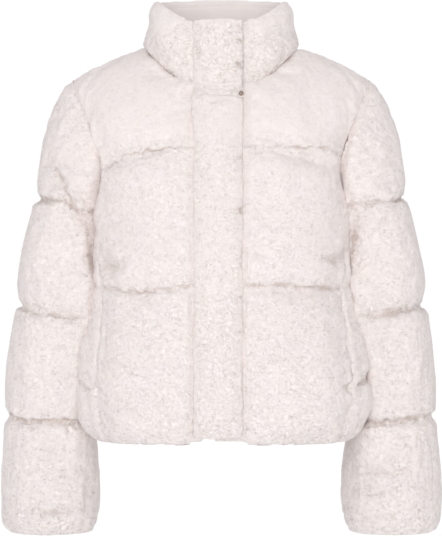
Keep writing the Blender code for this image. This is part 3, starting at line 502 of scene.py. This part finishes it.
def mirrored(items):            # the same creases or pulls on the wearer's other side
    flipped = []
    for item in items:
        twin = dict(item)
        if "line" in item:
            twin["line"] = [(-x, z) for x, z in item["line"]]
        else:
            twin["at"] = (-item["at"][0],) + tuple(item["at"][1:])
            twin["push"] = (-item["push"][0],) + tuple(item["push"][1:])
        flipped.append(twin)
    return flipped


def fleeceTexture(name, kind, size, **settings):
    texture = bpy.data.textures.new(name, kind)
    texture.noise_scale = size
    for key, value in settings.items():
        setattr(texture, key, value)
    return texture


def raisePile(piece, curlSize, curlHeight, outside):    # curly tufts, and how deep each point lies between them
    before = readPlaces(piece.data)
    setGroup(piece, "outside", outside)
    tufts = fleeceTexture("tufts", "VORONOI", curlSize, distance_metric="DISTANCE_SQUARED", noise_intensity=1.0)
    kinks = fleeceTexture("kinks", "CLOUDS", curlSize * 0.8, noise_basis="BLENDER_ORIGINAL", noise_depth=1)
    applyModifier(piece, "DISPLACE", texture=kinks, texture_coords="LOCAL", direction="NORMAL",
                  strength=curlHeight * 0.4, mid_level=0.5, vertex_group="outside")
    applyModifier(piece, "DISPLACE", texture=tufts, texture_coords="LOCAL", direction="NORMAL",
                  strength=-curlHeight, mid_level=0.35, vertex_group="outside")
    after = readPlaces(piece.data)
    lift = np.sum((after - before) * readNormals(piece.data), axis=1) / curlHeight
    level = ease(lift, -0.7, 0.45)
    level = 1 - (1 - level) * outside
    saveField(piece, "pile", level)


def markInside(piece, skeleton):        # the faces towards the wearer show the lining cloth
    centres = np.empty(len(piece.data.polygons) * 3, np.float32)
    facing = np.empty(len(piece.data.polygons) * 3, np.float32)
    piece.data.polygons.foreach_get("center", centres)
    piece.data.polygons.foreach_get("normal", facing)
    centres, facing = centres.reshape(-1, 3).astype(float), facing.reshape(-1, 3).astype(float)
    inner = np.sum(facing * outwardFrom(centres, skeleton), axis=1) < -0.45
    piece.data.polygons.foreach_set("material_index", inner.astype(np.int32))
    piece.data.polygons.foreach_set("use_smooth", np.ones(len(inner), bool))
    piece.data.update()


paddedShape = {     # low and high ends of each gradual change, then sizes of the soft lumps
    "loose": (0.1, 0.5), "thinSpan": 0.005,             # where the cloth is free to puff
    "outside": (-0.05, 0.45), "filled": (0.006, 0.014),
    "turned": (0.35, 0.75), "edgeThick": (0.010, 0.016),
    "seamThin": (0.0062, 0.0105), "inside": (-0.15, 0.2),
    "lumpSize": 0.045, "swellSize": 0.11, "puckerSize": 0.020, "puckerStretch": 0.16,
    "patchSize": 0.05, "patchReach": 0.010, "curlPatch": 0.03, "seamShadeShare": 0.10,
}


def makePadded(settings, finish):
    name, seed, shape = settings["name"], settings["seed"], paddedShape
    piece = copyNode(settings["node"], name)
    applyModifier(piece, "SUBSURF", levels=1, render_levels=1)
    applyModifier(piece, "REMESH", mode="VOXEL", voxel_size=settings["cell"], adaptivity=0.0)
    applyModifier(piece, "SMOOTH", factor=0.5, iterations=1)
    places, normals = readPlaces(piece.data), readNormals(piece.data)
    outward = np.sum(normals * outwardFrom(places, settings["skeleton"]), axis=1)
    thick = wallThickness(piece)
    loose = ease(outward, *shape["loose"]) * ease(thick, settings["thin"], settings["thin"] + shape["thinSpan"])
    setGroup(piece, "held", 1 - loose)
    setGroup(piece, "thick", thick / thickest)
    puffUp(piece, settings["pressure"], settings["cap"])
    applyModifier(piece, "SMOOTH", factor=0.5, iterations=3, vertex_group="held", invert_vertex_group=True)
    applyModifier(piece, "SUBSURF", levels=1, render_levels=1)

    places, normals = readPlaces(piece.data), readNormals(piece.data)
    outward = np.sum(normals * outwardFrom(places, settings["skeleton"]), axis=1)
    outside = ease(outward, *shape["outside"])
    thick = readGroup(piece, "thick") * thickest
    filled = ease(thick, *shape["filled"])
    edge = (1 - ease(np.abs(outward), *shape["turned"])) * ease(thick, *shape["edgeThick"])
    seam = (1 - ease(thick, *shape["seamThin"])) * outside
    lumps = smoothNoise(places, shape["lumpSize"], seed) * 0.6 + smoothNoise(places, shape["swellSize"], seed + 1)
    upright = places * (1.0, 1.0, shape["puckerStretch"])
    puckers = smoothNoise(upright, shape["puckerSize"], seed + 2)
    move = lumps * settings["lumps"] * (0.35 + 0.65 * filled)
    move += puckers * settings["puckers"] * filled * (1 - filled) * 4
    move = move * outside + edge * settings["edgeOut"] - seam * settings["sink"]
    writePlaces(piece.data, places + normals * move[:, None])
    pullOut(piece, settings.get("pulls", []))
    lined, curly = pressCreases(piece, settings["creases"], outside)

    heights, amounts = zip(*settings["pile"])
    strayed = places[:, 2] + shape["patchReach"] * smoothNoise(places, shape["patchSize"], seed + 3)
    rough = np.interp(strayed, heights, amounts)
    curly = curly * (0.6 + 0.4 * smoothNoise(places, shape["curlPatch"], seed + 4))
    tall = outside * np.clip(rough * 0.65 + curly * 0.3, 0, 1)
    raisePile(piece, settings["curlSize"], settings["curlHeight"], tall)
    # rougher pile gets more bump and more painted shade in the shader; seam holds painted shade, a little at the thin
    # seams and more along the pressed lines
    saveField(piece, "rough", rough + curly * settings["seamCurl"])
    saveField(piece, "seam", np.clip(seam * shape["seamShadeShare"] + lined, 0, 1))
    setGroup(piece, "inside", ease(-outward, *shape["inside"]))
    count = len(piece.data.polygons)
    applyModifier(piece, "DECIMATE", ratio=settings["keep"], vertex_group="inside", vertex_group_factor=10.0)
    piece.vertex_groups.clear()
    piece.data.materials.append(finish)
    piece.data.materials.append(insideCloth)
    markInside(piece, settings["skeleton"])
    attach(piece, "root")
    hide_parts(settings["node"])
    piece.data.calc_loop_triangles()
    print(name, "from", count, "faces to", len(piece.data.loop_triangles), "triangles")


# ---- sleeves

leftArm = [(0.16, 0.0, -0.13), (0.222, 0.02, -0.21), (0.236, 0.036, -0.36), (0.247, 0.052, -0.52), (0.25, 0.06, -0.72)]
rightArm = [(-x, y, z) for x, y, z in leftArm]
padding = {     # what all the body and sleeve pieces share
    "cell": 0.0044, "thin": 0.0075, "pressure": 3.0, "cap": 0.004, "fill": 0.75, "keep": 0.58, "lumps": 0.0008,
    "puckers": 0.0008, "curlSize": 0.0046, "curlHeight": 0.0010, "edgeOut": 0.0026, "sink": 0.0010,
    "seamCurl": 0.7,
    "pile": [       # how rough the pile is, from the hem up
        (-0.545, 1.5), (-0.51, 1.0), (-0.36, 1.0), (-0.32, 0.8), (-0.16, 0.75), (-0.12, 0.35),
    ],
}
stitched = {"depth": 0.0024, "width": 0.0030, "shade": 1.0}
thinStitch = {"depth": 0.0018, "width": 0.0026, "shade": 1.0}
gathered = {"depth": 0.0036, "width": 0.0044, "shade": 1.0, "side": "around"}       # deeper lines round the sleeves
folded = {"depth": 0.0030, "width": 0.0055, "shade": 0.35}
shoulderFold = {"depth": 0.0045, "width": 0.0042, "shade": 1.0}
armFold = {"depth": 0.001, "width": 0.006, "shade": 0.9}            # painted shade where the sleeve meets the body, over a shallow fold
filledEdge = {"depth": -0.0030, "width": 0.0080, "shade": 0.0}      # padding that fills up to a seam
filledSide = {"depth": -0.0022, "width": 0.0100, "shade": 0.0}
filledYoke = {**filledEdge, "depth": -0.0018}
filledBelow = {**filledEdge, "depth": -0.0012}

# lines are pairs of x and z, in metres
neckSeam = [(-0.108, 0.003), (-0.099, -0.021), (-0.077, -0.043), (-0.054, -0.053), (-0.037, -0.055)]
armhole = [(-0.205, -0.061), (-0.194, -0.082), (-0.178, -0.124), (-0.163, -0.165), (-0.167, -0.198), (-0.170, -0.234)]
leftArmhole = [(0.210, -0.060), (0.194, -0.092), (0.189, -0.124), (0.178, -0.165), (0.175, -0.226)]
elbowFold = [(0.232, -0.186), (0.222, -0.172), (0.205, -0.166)]
sleevePulls = [     # the sleeve's inner side comes forward and towards the body
    {"at": (-0.186, -0.010, -0.275), "size": (0.022, 0.050, 0.060), "push": (0.011, -0.018, 0.0)},
    {"at": (-0.196, 0.000, -0.380), "size": (0.024, 0.065, 0.060), "push": (0.009, -0.032, 0.0)},
    {"at": (-0.200, 0.010, -0.480), "size": (0.024, 0.065, 0.060), "push": (0.006, -0.030, 0.0)},
    {"at": (-0.188, 0.000, -0.334), "size": (0.020, 0.050, 0.022), "push": (0.006, -0.008, 0.0)},
    {"at": (-0.190, 0.000, -0.380), "size": (0.020, 0.050, 0.020), "push": (0.006, -0.008, 0.0)},
]

sleevePadding = {**padding, "seamCurl": 1.3, "pile": [(-0.685, 1.7), (-0.64, 1.05), (-0.25, 0.8), (-0.05, 0.75)]}
sleeveRight = {
    **sleevePadding, "name": "sleeveRight", "node": "sleeve_right", "skeleton": rightArm, "seed": 23,
    "pulls": sleevePulls,
    "creases": [
        {**filledEdge, "line": armhole},
        {**gathered, "line": [
            (-0.290, -0.213), (-0.257, -0.214), (-0.217, -0.217), (-0.202, -0.231), (-0.187, -0.236), (-0.165, -0.228),
        ]},
        {**gathered, "line": [
            (-0.300, -0.355), (-0.276, -0.371), (-0.240, -0.376), (-0.204, -0.380), (-0.192, -0.380),
        ]},
        {**gathered, "line": [
            (-0.312, -0.516), (-0.283, -0.526), (-0.240, -0.527), (-0.198, -0.527), (-0.173, -0.525),
        ]},
        {**shoulderFold, "line": [(-0.231, -0.172), (-0.215, -0.203), (-0.198, -0.232)]},
        {**armFold, "line": [(-0.190, -0.235), (-0.184, -0.270), (-0.182, -0.315)]},
        *mirrored([{**folded, "line": elbowFold, "side": "back"}]),
        {**folded, "line": [(-0.270, -0.650), (-0.232, -0.657), (-0.200, -0.650)]},
    ],
}
sleeveLeft = {
    **sleevePadding, "name": "sleeveLeft", "node": "sleeve_left", "skeleton": leftArm, "seed": 3,
    "pulls": mirrored(sleevePulls),
    "creases": [
        {**filledEdge, "line": leftArmhole},
        {**gathered, "line": [(0.292, -0.209), (0.259, -0.211), (0.228, -0.220), (0.175, -0.224)]},
        {**gathered, "line": [(0.302, -0.362), (0.284, -0.366), (0.252, -0.371), (0.224, -0.377), (0.195, -0.376)]},
        {**gathered, "line": [(0.314, -0.520), (0.290, -0.520), (0.252, -0.527), (0.209, -0.529), (0.172, -0.526)]},
        {**folded, "line": [(0.232, -0.236), (0.223, -0.252)], "depth": 0.004, "shade": 0.4},
        {**armFold, "line": [(0.190, -0.235), (0.186, -0.270), (0.183, -0.315)]},
        {**folded, "line": elbowFold, "side": "back"},
        {**folded, "line": [(0.205, -0.590), (0.240, -0.600), (0.272, -0.594)]},
        {**folded, "line": [(0.190, -0.618), (0.222, -0.628), (0.250, -0.622)]},
    ],
}
makePadded(sleeveLeft, sleeveFleece)
makePadded(sleeveRight, sleeveFleece)


# ---- fronts and back

sideSeam = [(-0.167, -0.342), (-0.173, -0.380), (-0.177, -0.440), (-0.178, -0.530)]
leftSeam = [(0.173, -0.342), (0.179, -0.380), (0.183, -0.430), (0.184, -0.467), (0.180, -0.530)]
tuck = {"depth": 0.006, "width": 0.0055}
sidePulls = [       # the body's side swells out to the sleeve
    {"at": (-0.196, -0.030, -0.450), "size": (0.030, 0.060, 0.075), "push": (-0.006, -0.004, 0.0)},
    {"at": (-0.174, -0.020, -0.336), "size": (0.020, 0.050, 0.020), "push": (-0.004, -0.002, 0.0)},
    {"at": (-0.172, -0.030, -0.275), "size": (0.022, 0.050, 0.060), "push": (-0.007, -0.004, 0.0)},
]
frontRight = {
    **padding, "name": "frontRight", "node": "front_right", "skeleton": "body", "seed": 63,
    "pulls": sidePulls + [
        {"at": (-0.044, -0.12, -0.31), "size": (0.009, 1.0, 0.26), "push": (0.0, -0.0018, 0.0)},
        {"at": (-0.163, -0.08, -0.142), "size": (0.020, 1.0, 0.026), "push": (0.0, 0.006, 0.0)},
        {"at": (-0.042, -0.08, -0.060), "size": (0.014, 1.0, 0.012), "push": (0.0, -0.001, 0.005)},
    ],
    "creases": [
        {**filledEdge, "line": armhole},
        {**filledEdge, "line": neckSeam},
        {**filledSide, "line": sideSeam},
        {**filledYoke, "line": [(-0.140, -0.160), (-0.101, -0.149), (-0.034, -0.145)]},
        {**thinStitch, "line": [
            (-0.160, -0.172), (-0.126, -0.155), (-0.101, -0.149), (-0.053, -0.145), (-0.034, -0.145),
        ]},
        {**filledBelow, "line": [(-0.150, -0.340), (-0.120, -0.344), (-0.073, -0.339), (-0.038, -0.333)]},
        {**thinStitch, "line": [(-0.160, -0.337), (-0.120, -0.344), (-0.073, -0.339), (-0.038, -0.333)]},
        {"line": [(-0.170, -0.302), (-0.154, -0.308), (-0.140, -0.303)], "depth": 0.006, "width": 0.009, "shade": 0.4},
        {"line": [(-0.194, -0.473), (-0.182, -0.478), (-0.170, -0.477)], "depth": 0.004, "width": 0.004, "shade": 0.6},
    ],
}
frontLeft = {
    **padding, "name": "frontLeft", "node": "front_left", "skeleton": "body", "seed": 43,
    "pulls": mirrored(sidePulls) + [
        {"at": (0.037, -0.12, -0.31), "size": (0.008, 1.0, 0.28), "push": (0.0, -0.0022, 0.0)},
        {"at": (0.172, -0.08, -0.136), "size": (0.020, 1.0, 0.026), "push": (0.0, 0.006, 0.0)},
        {"at": (0.038, -0.08, -0.060), "size": (0.014, 1.0, 0.012), "push": (0.0, -0.001, 0.005)},
    ],
    "creases": [
        {**filledEdge, "line": leftArmhole},
        *mirrored([{**filledEdge, "line": neckSeam}]),
        {**filledSide, "line": leftSeam},
        {**filledYoke, "line": [(0.031, -0.144), (0.094, -0.144), (0.152, -0.145)]},
        {**thinStitch, "line": [(0.031, -0.144), (0.094, -0.144), (0.152, -0.145), (0.175, -0.158)]},
        {**stitched, "line": [(0.035, -0.334), (0.076, -0.333), (0.121, -0.338), (0.168, -0.337)]},
        {"line": [(0.178, -0.288), (0.162, -0.300), (0.146, -0.296)], "depth": 0.007, "width": 0.008, "shade": 0.5},
        {**tuck, "line": [(0.172, -0.474), (0.188, -0.476), (0.206, -0.463)], "shade": 0.8},
    ],
}
backPanel = {
    **padding, "name": "backPanel", "node": "back", "skeleton": "body", "seed": 83, "cell": 0.0050, "keep": 0.56,
    "pulls": sidePulls + mirrored(sidePulls) + [
        {"at": (0.208, -0.030, -0.465), "size": (0.014, 0.040, 0.010), "push": (-0.005, 0.001, 0.0)},
        {"at": (0.206, -0.030, -0.503), "size": (0.022, 0.060, 0.028), "push": (0.006, -0.003, 0.0)},
        {"at": (-0.202, -0.030, -0.528), "size": (0.024, 0.060, 0.032), "push": (-0.007, -0.003, 0.0)},
    ],
    "creases": [
        {**filledBelow, "line": sideSeam},
        {**filledBelow, "line": leftSeam},
        {**tuck, "line": [(0.190, -0.475), (0.212, -0.462)], "shade": 0.9},
        {"line": [(-0.204, -0.466), (-0.184, -0.478)], "depth": 0.004, "width": 0.004, "shade": 0.7},
        {**stitched, "side": "back", "line": [
            (-0.170, -0.158), (-0.110, -0.149), (0.0, -0.146), (0.110, -0.149), (0.172, -0.158),
        ]},
        {**stitched, "side": "back", "line": [
            (-0.190, -0.338), (-0.110, -0.343), (0.0, -0.338), (0.110, -0.342), (0.190, -0.338),
        ]},
        {**folded, "line": [(-0.160, -0.305), (-0.142, -0.300), (-0.128, -0.306)], "side": "back"},
        {**folded, "line": [(0.166, -0.300), (0.150, -0.308), (0.134, -0.304)], "side": "back"},
        {**folded, "line": [(-0.058, -0.128), (-0.030, -0.132), (-0.008, -0.127)], "side": "back", "depth": 0.002},
        {**folded, "line": [(0.040, -0.372), (0.066, -0.366), (0.090, -0.372)], "side": "back", "depth": 0.002},
    ],
}
makePadded(frontLeft, bodyFleece)
makePadded(frontRight, bodyFleece)
makePadded(backPanel, bodyFleece)


# ---- collar and fly

collarPulls = [     # the collar widens down to the shoulder
    {"at": (-0.108, 0.0, 0.036), "size": (0.030, 0.070, 0.018), "push": (0.006, 0.0, 0.0)},
    {"at": (-0.104, 0.0, -0.002), "size": (0.030, 0.060, 0.018), "push": (-0.007, 0.0, 0.0)},
]
# the second line is painted shade along the neck seam, with hardly any dent
neckLines = [{**filledEdge, "line": neckSeam}, {**stitched, "line": neckSeam, "depth": 0.0003, "shade": 0.45}]
collarOuter = {
    **padding, "name": "collarOuter", "node": "collar", "skeleton": "neck", "seed": 103,
    "cell": 0.0034, "thin": 0.0070, "cap": 0.003, "fill": 0.8, "keep": 0.60,
    "lumps": 0.0005, "puckers": 0.0004, "curlSize": 0.0050, "curlHeight": 0.0012, "edgeOut": 0.0018, "sink": 0.0006,
    "pile": [(0.012, 1.0), (0.034, 0.3)],
    "pulls": collarPulls + mirrored(collarPulls) + [
        {"at": (0.0, -0.09, 0.030), "size": (0.060, 0.040, 0.014), "push": (0.0, 0.0, 0.003)},
        {"at": (-0.044, -0.08, -0.052), "size": (0.016, 0.040, 0.010), "push": (0.0, -0.001, -0.003)},
        {"at": (0.040, -0.08, -0.052), "size": (0.016, 0.040, 0.010), "push": (0.0, -0.001, -0.003)},
    ],
    "creases": neckLines + mirrored(neckLines),
}


def edgeStitches(heights):       # short stitches on the fly's free edge: small dents with painted shade in them
    return [{**stitched, "line": [(0.024, z), (0.034, z - 0.001)], "width": 0.0035} for z in heights]


flyPadding = {
    **padding, "skeleton": "body", "thin": 0.0060, "pressure": 1.5, "cap": 0.002, "fill": 0.6, "keep": 0.7,
    "lumps": 0.0006, "puckers": 0.0004, "edgeOut": 0.0006, "sink": 0.0,
}
flyFront = {
    **flyPadding, "name": "flyFront", "node": "fly_front", "seed": 123, "cell": 0.0036,
    "pulls": [
        {"at": (-0.040, -0.12, -0.31), "size": (0.011, 1.0, 0.40), "push": (0.0, 0.0042, 0.0)},
        {"at": (0.031, -0.12, -0.31), "size": (0.008, 1.0, 0.40), "push": (0.0, 0.0028, 0.0)},
        {"at": (0.0, -0.09, -0.074), "size": (0.10, 1.0, 0.006), "push": (0.0, -0.0010, 0.0035)},
    ],
    "creases": [
        *edgeStitches((-0.159, -0.232, -0.306, -0.349)),
        # painted shade along the curved lower border of the collar's fly, with hardly any dent
        {**stitched, "depth": 0.0005, "shade": 0.5, "line": [
            (-0.034, -0.070), (-0.026, -0.078), (-0.015, -0.085), (-0.004, -0.083), (0.012, -0.078),
        ]},
    ],
}
flyCollar = {
    **flyPadding, "name": "flyCollar", "node": "fly_collar", "seed": 143, "cell": 0.0034,
    "curlSize": 0.0050, "curlHeight": 0.0012, "pile": [(0.012, 1.0), (0.034, 0.4)],
    "pulls": [
        {"at": (-0.040, -0.09, -0.02), "size": (0.011, 1.0, 0.10), "push": (0.0, 0.0048, 0.0)},
        {"at": (0.0, -0.09, 0.030), "size": (0.060, 1.0, 0.014), "push": (0.0, 0.0, 0.003)},
        {"at": (-0.006, -0.09, -0.079), "size": (0.015, 1.0, 0.010), "push": (0.0, 0.0010, -0.005)},
        {"at": (-0.008, -0.09, -0.078), "size": (0.028, 1.0, 0.007), "push": (0.0, 0.0022, 0.0)},
        {"at": (-0.036, -0.09, -0.072), "size": (0.014, 1.0, 0.012), "push": (0.0, -0.0020, 0.0)},
    ],
    "creases": edgeStitches((0.022, 0.003, -0.030)),
}
makePadded(collarOuter, collarFleece)
makePadded(flyFront, bodyFleece)
makePadded(flyCollar, collarFleece)


# ---- collar lining

def makeLining(settings):
    piece = copyNode(settings["node"], settings["name"])
    applyModifier(piece, "SUBSURF", levels=2, render_levels=2)
    places, normals = readPlaces(piece.data), readNormals(piece.data)
    ripples = smoothNoise(places * (1.0, 1.0, 0.4), settings["rippleSize"], settings["seed"])
    writePlaces(piece.data, places + normals * (ripples * settings["ripple"])[:, None])
    piece.data.materials.append(insideCloth)
    piece.data.polygons.foreach_set("use_smooth", np.ones(len(piece.data.polygons), bool))
    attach(piece, "root")
    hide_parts(settings["node"])
    print(settings["name"], len(piece.data.polygons), "faces")


makeLining({
    "name": "collarLining", "node": "collar_lining", "seed": 163, "flat": (0.56, 0.078),
    "rippleSize": 0.030, "ripple": 0.0004,
})


# ---- zip and press stud

tapeLook = {
    "ribScale": 420.0, "ribBend": 0.6, "wearScale": 60.0, "bump": 0.0003, "bumpStrength": 0.8, "roughness": 0.8,
    "shade": (0.52, 0.45, 0.42, 1.0), "light": (0.74, 0.67, 0.64, 1.0),
}
brassLook = {
    "stainScale": 350.0, "bump": 0.0001, "bumpStrength": 0.6, "metallic": 0.85,
    "shade": (0.16, 0.12, 0.10, 1.0), "light": (0.38, 0.30, 0.25, 1.0),
}


def makeTape(look):
    finish = Finish("tapeWeave")
    place = finish.place()
    ribs = finish.add("ShaderNodeTexWave", {"wave_type": "BANDS", "bands_direction": "DIAGONAL"},
                      {"Vector": place, "Scale": look["ribScale"], "Distortion": look["ribBend"]})
    rib = finish.field(ribs, "Fac")
    shade = (rib * 0.35 + finish.noiseField(place, look["wearScale"], 3.0) * 0.5).held()
    colour = finish.mixed(shade, look["shade"], look["light"])
    finish.feed(finish.shader.inputs["Base Color"], colour)
    finish.shader.inputs["Roughness"].default_value = look["roughness"]
    finish.feed(finish.shader.inputs["Normal"], finish.bumped(rib, look["bump"], look["bumpStrength"]))
    return finish.material


def makeBrass(look):
    finish = Finish("agedBrass")
    place = finish.place()
    stain = finish.noiseField(place, look["stainScale"], 4.0)
    colour = finish.mixed((stain * 2.0 - 0.5).held(), look["shade"], look["light"])
    finish.feed(finish.shader.inputs["Base Color"], colour)
    finish.feed(finish.shader.inputs["Roughness"], stain * 0.3 + 0.25)
    finish.shader.inputs["Metallic"].default_value = look["metallic"]
    finish.feed(finish.shader.inputs["Normal"], finish.bumped(stain, look["bump"], look["bumpStrength"]))
    return finish.material


tapeWeave = makeTape(tapeLook)
agedBrass = makeBrass(brassLook)
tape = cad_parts["zip_tape"]
for slot in tape.material_slots:
    slot.material = tapeWeave

zipTeeth = {
    "name": "zipTeeth", "middle": -0.0176, "bottom": -0.525, "top": 0.018, "pitch": 0.0026,
    "size": (0.0030, 0.0016, 0.0013), "rounding": 0.0003, "stagger": 0.0009, "proud": 0.0005,
}


def makeTeeth(settings):        # two rows that lock into each other, on the tape's inner face
    inner = BVHTree.FromPolygons([v.co for v in tape.data.vertices], [p.vertices[:] for p in tape.data.polygons])
    deselectAll()
    bpy.ops.mesh.primitive_cube_add(size=1.0, scale=settings["size"])
    tooth = bpy.context.active_object
    bpy.ops.object.transform_apply(location=True, rotation=True, scale=True)
    applyModifier(tooth, "BEVEL", width=settings["rounding"], segments=1)
    copies = []
    for index, z in enumerate(np.arange(settings["bottom"], settings["top"], settings["pitch"])):
        hit = inner.ray_cast(Vector((settings["middle"], 0.0, z)), Vector((0, -1, 0)))
        if hit[0] is None:
            continue
        copy = bpy.data.objects.new("tooth", tooth.data.copy())
        scene.collection.objects.link(copy)
        aside = settings["stagger"] * (1 if index % 2 else -1)
        copy.location = (settings["middle"] + aside, hit[0].y + settings["proud"], z)
        if hit[1].y < 0:        # the tooth tilts with the tape
            tilt = Vector((0, hit[1].z, -hit[1].y)).normalized()
            copy.rotation_euler = Vector((0, 0, 1)).rotation_difference(tilt).to_euler()
        copies.append(copy)
    deselectAll()
    for copy in copies:
        copy.select_set(True)
    bpy.context.view_layer.objects.active = copies[0]
    bpy.ops.object.join()
    piece = bpy.context.active_object
    piece.name = settings["name"]
    bpy.ops.object.transform_apply(location=True, rotation=True, scale=True)
    bpy.data.objects.remove(tooth)
    piece.data.materials.append(agedBrass)
    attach(piece, "root")
    print(settings["name"], len(copies), "teeth,", len(piece.data.polygons), "faces")


makeTeeth(zipTeeth)

pressStud = {
    "name": "pressStud", "node": "press_stud", "rimWidth": 0.0005, "dish": 0.0004, "dishWidth": 0.0002,
    "capWidth": 0.0007, "dome": 0.0006, "softEdge": 0.00015,
}


def makeStud(settings):         # a small cap with a rolled rim and a low dome
    low, high = (Vector(corner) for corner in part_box(settings["node"]))
    middle = (low + high) / 2
    radius = (high.x - low.x) / 2
    depth = high.y - low.y
    deselectAll()
    bpy.ops.mesh.primitive_cylinder_add(vertices=48, radius=radius, depth=depth, location=middle,
                                        rotation=(math.radians(90), 0, 0))
    piece = bpy.context.active_object
    piece.name = settings["name"]
    bpy.ops.object.transform_apply(location=True, rotation=True, scale=True)
    bpy.ops.object.mode_set(mode="EDIT")
    bpy.ops.mesh.select_all(action="DESELECT")
    bpy.ops.object.mode_set(mode="OBJECT")
    for face in piece.data.polygons:
        face.select = face.normal.y < -0.9      # the cap's front
    bpy.ops.object.mode_set(mode="EDIT")
    bpy.ops.mesh.select_mode(type="FACE")
    bpy.ops.mesh.inset(thickness=settings["rimWidth"])
    bpy.ops.mesh.inset(thickness=settings["dishWidth"], depth=-settings["dish"])
    bpy.ops.mesh.inset(thickness=settings["capWidth"], depth=settings["dome"] * 0.7)
    bpy.ops.mesh.inset(thickness=settings["capWidth"], depth=settings["dome"] * 0.3)
    bpy.ops.object.mode_set(mode="OBJECT")
    applyModifier(piece, "BEVEL", width=settings["softEdge"], segments=2, limit_method="ANGLE")
    pickOnly(piece)
    bpy.ops.object.shade_smooth_by_angle(angle=math.radians(50))
    piece.data.materials.append(agedBrass)
    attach(piece, "root")
    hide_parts(settings["node"])
    print(settings["name"], len(piece.data.polygons), "faces")


makeStud(pressStud)


# ---- floor

deselectAll()
bpy.ops.mesh.primitive_plane_add(size=studio["floorSize"], location=(0, 0, studio["floorZ"]))
floor = bpy.context.active_object
floor.name = "floor"
floorFinish = Finish("paleFloor")
floorFinish.shader.inputs["Base Color"].default_value = (0.93, 0.93, 0.93, 1.0)
floorFinish.shader.inputs["Roughness"].default_value = 0.9
floorFinish.shader.inputs["Emission Color"].default_value = (1.0, 1.0, 1.0, 1.0)
floorFinish.shader.inputs["Emission Strength"].default_value = studio["floorGlow"]
floor.data.materials.append(floorFinish.material)
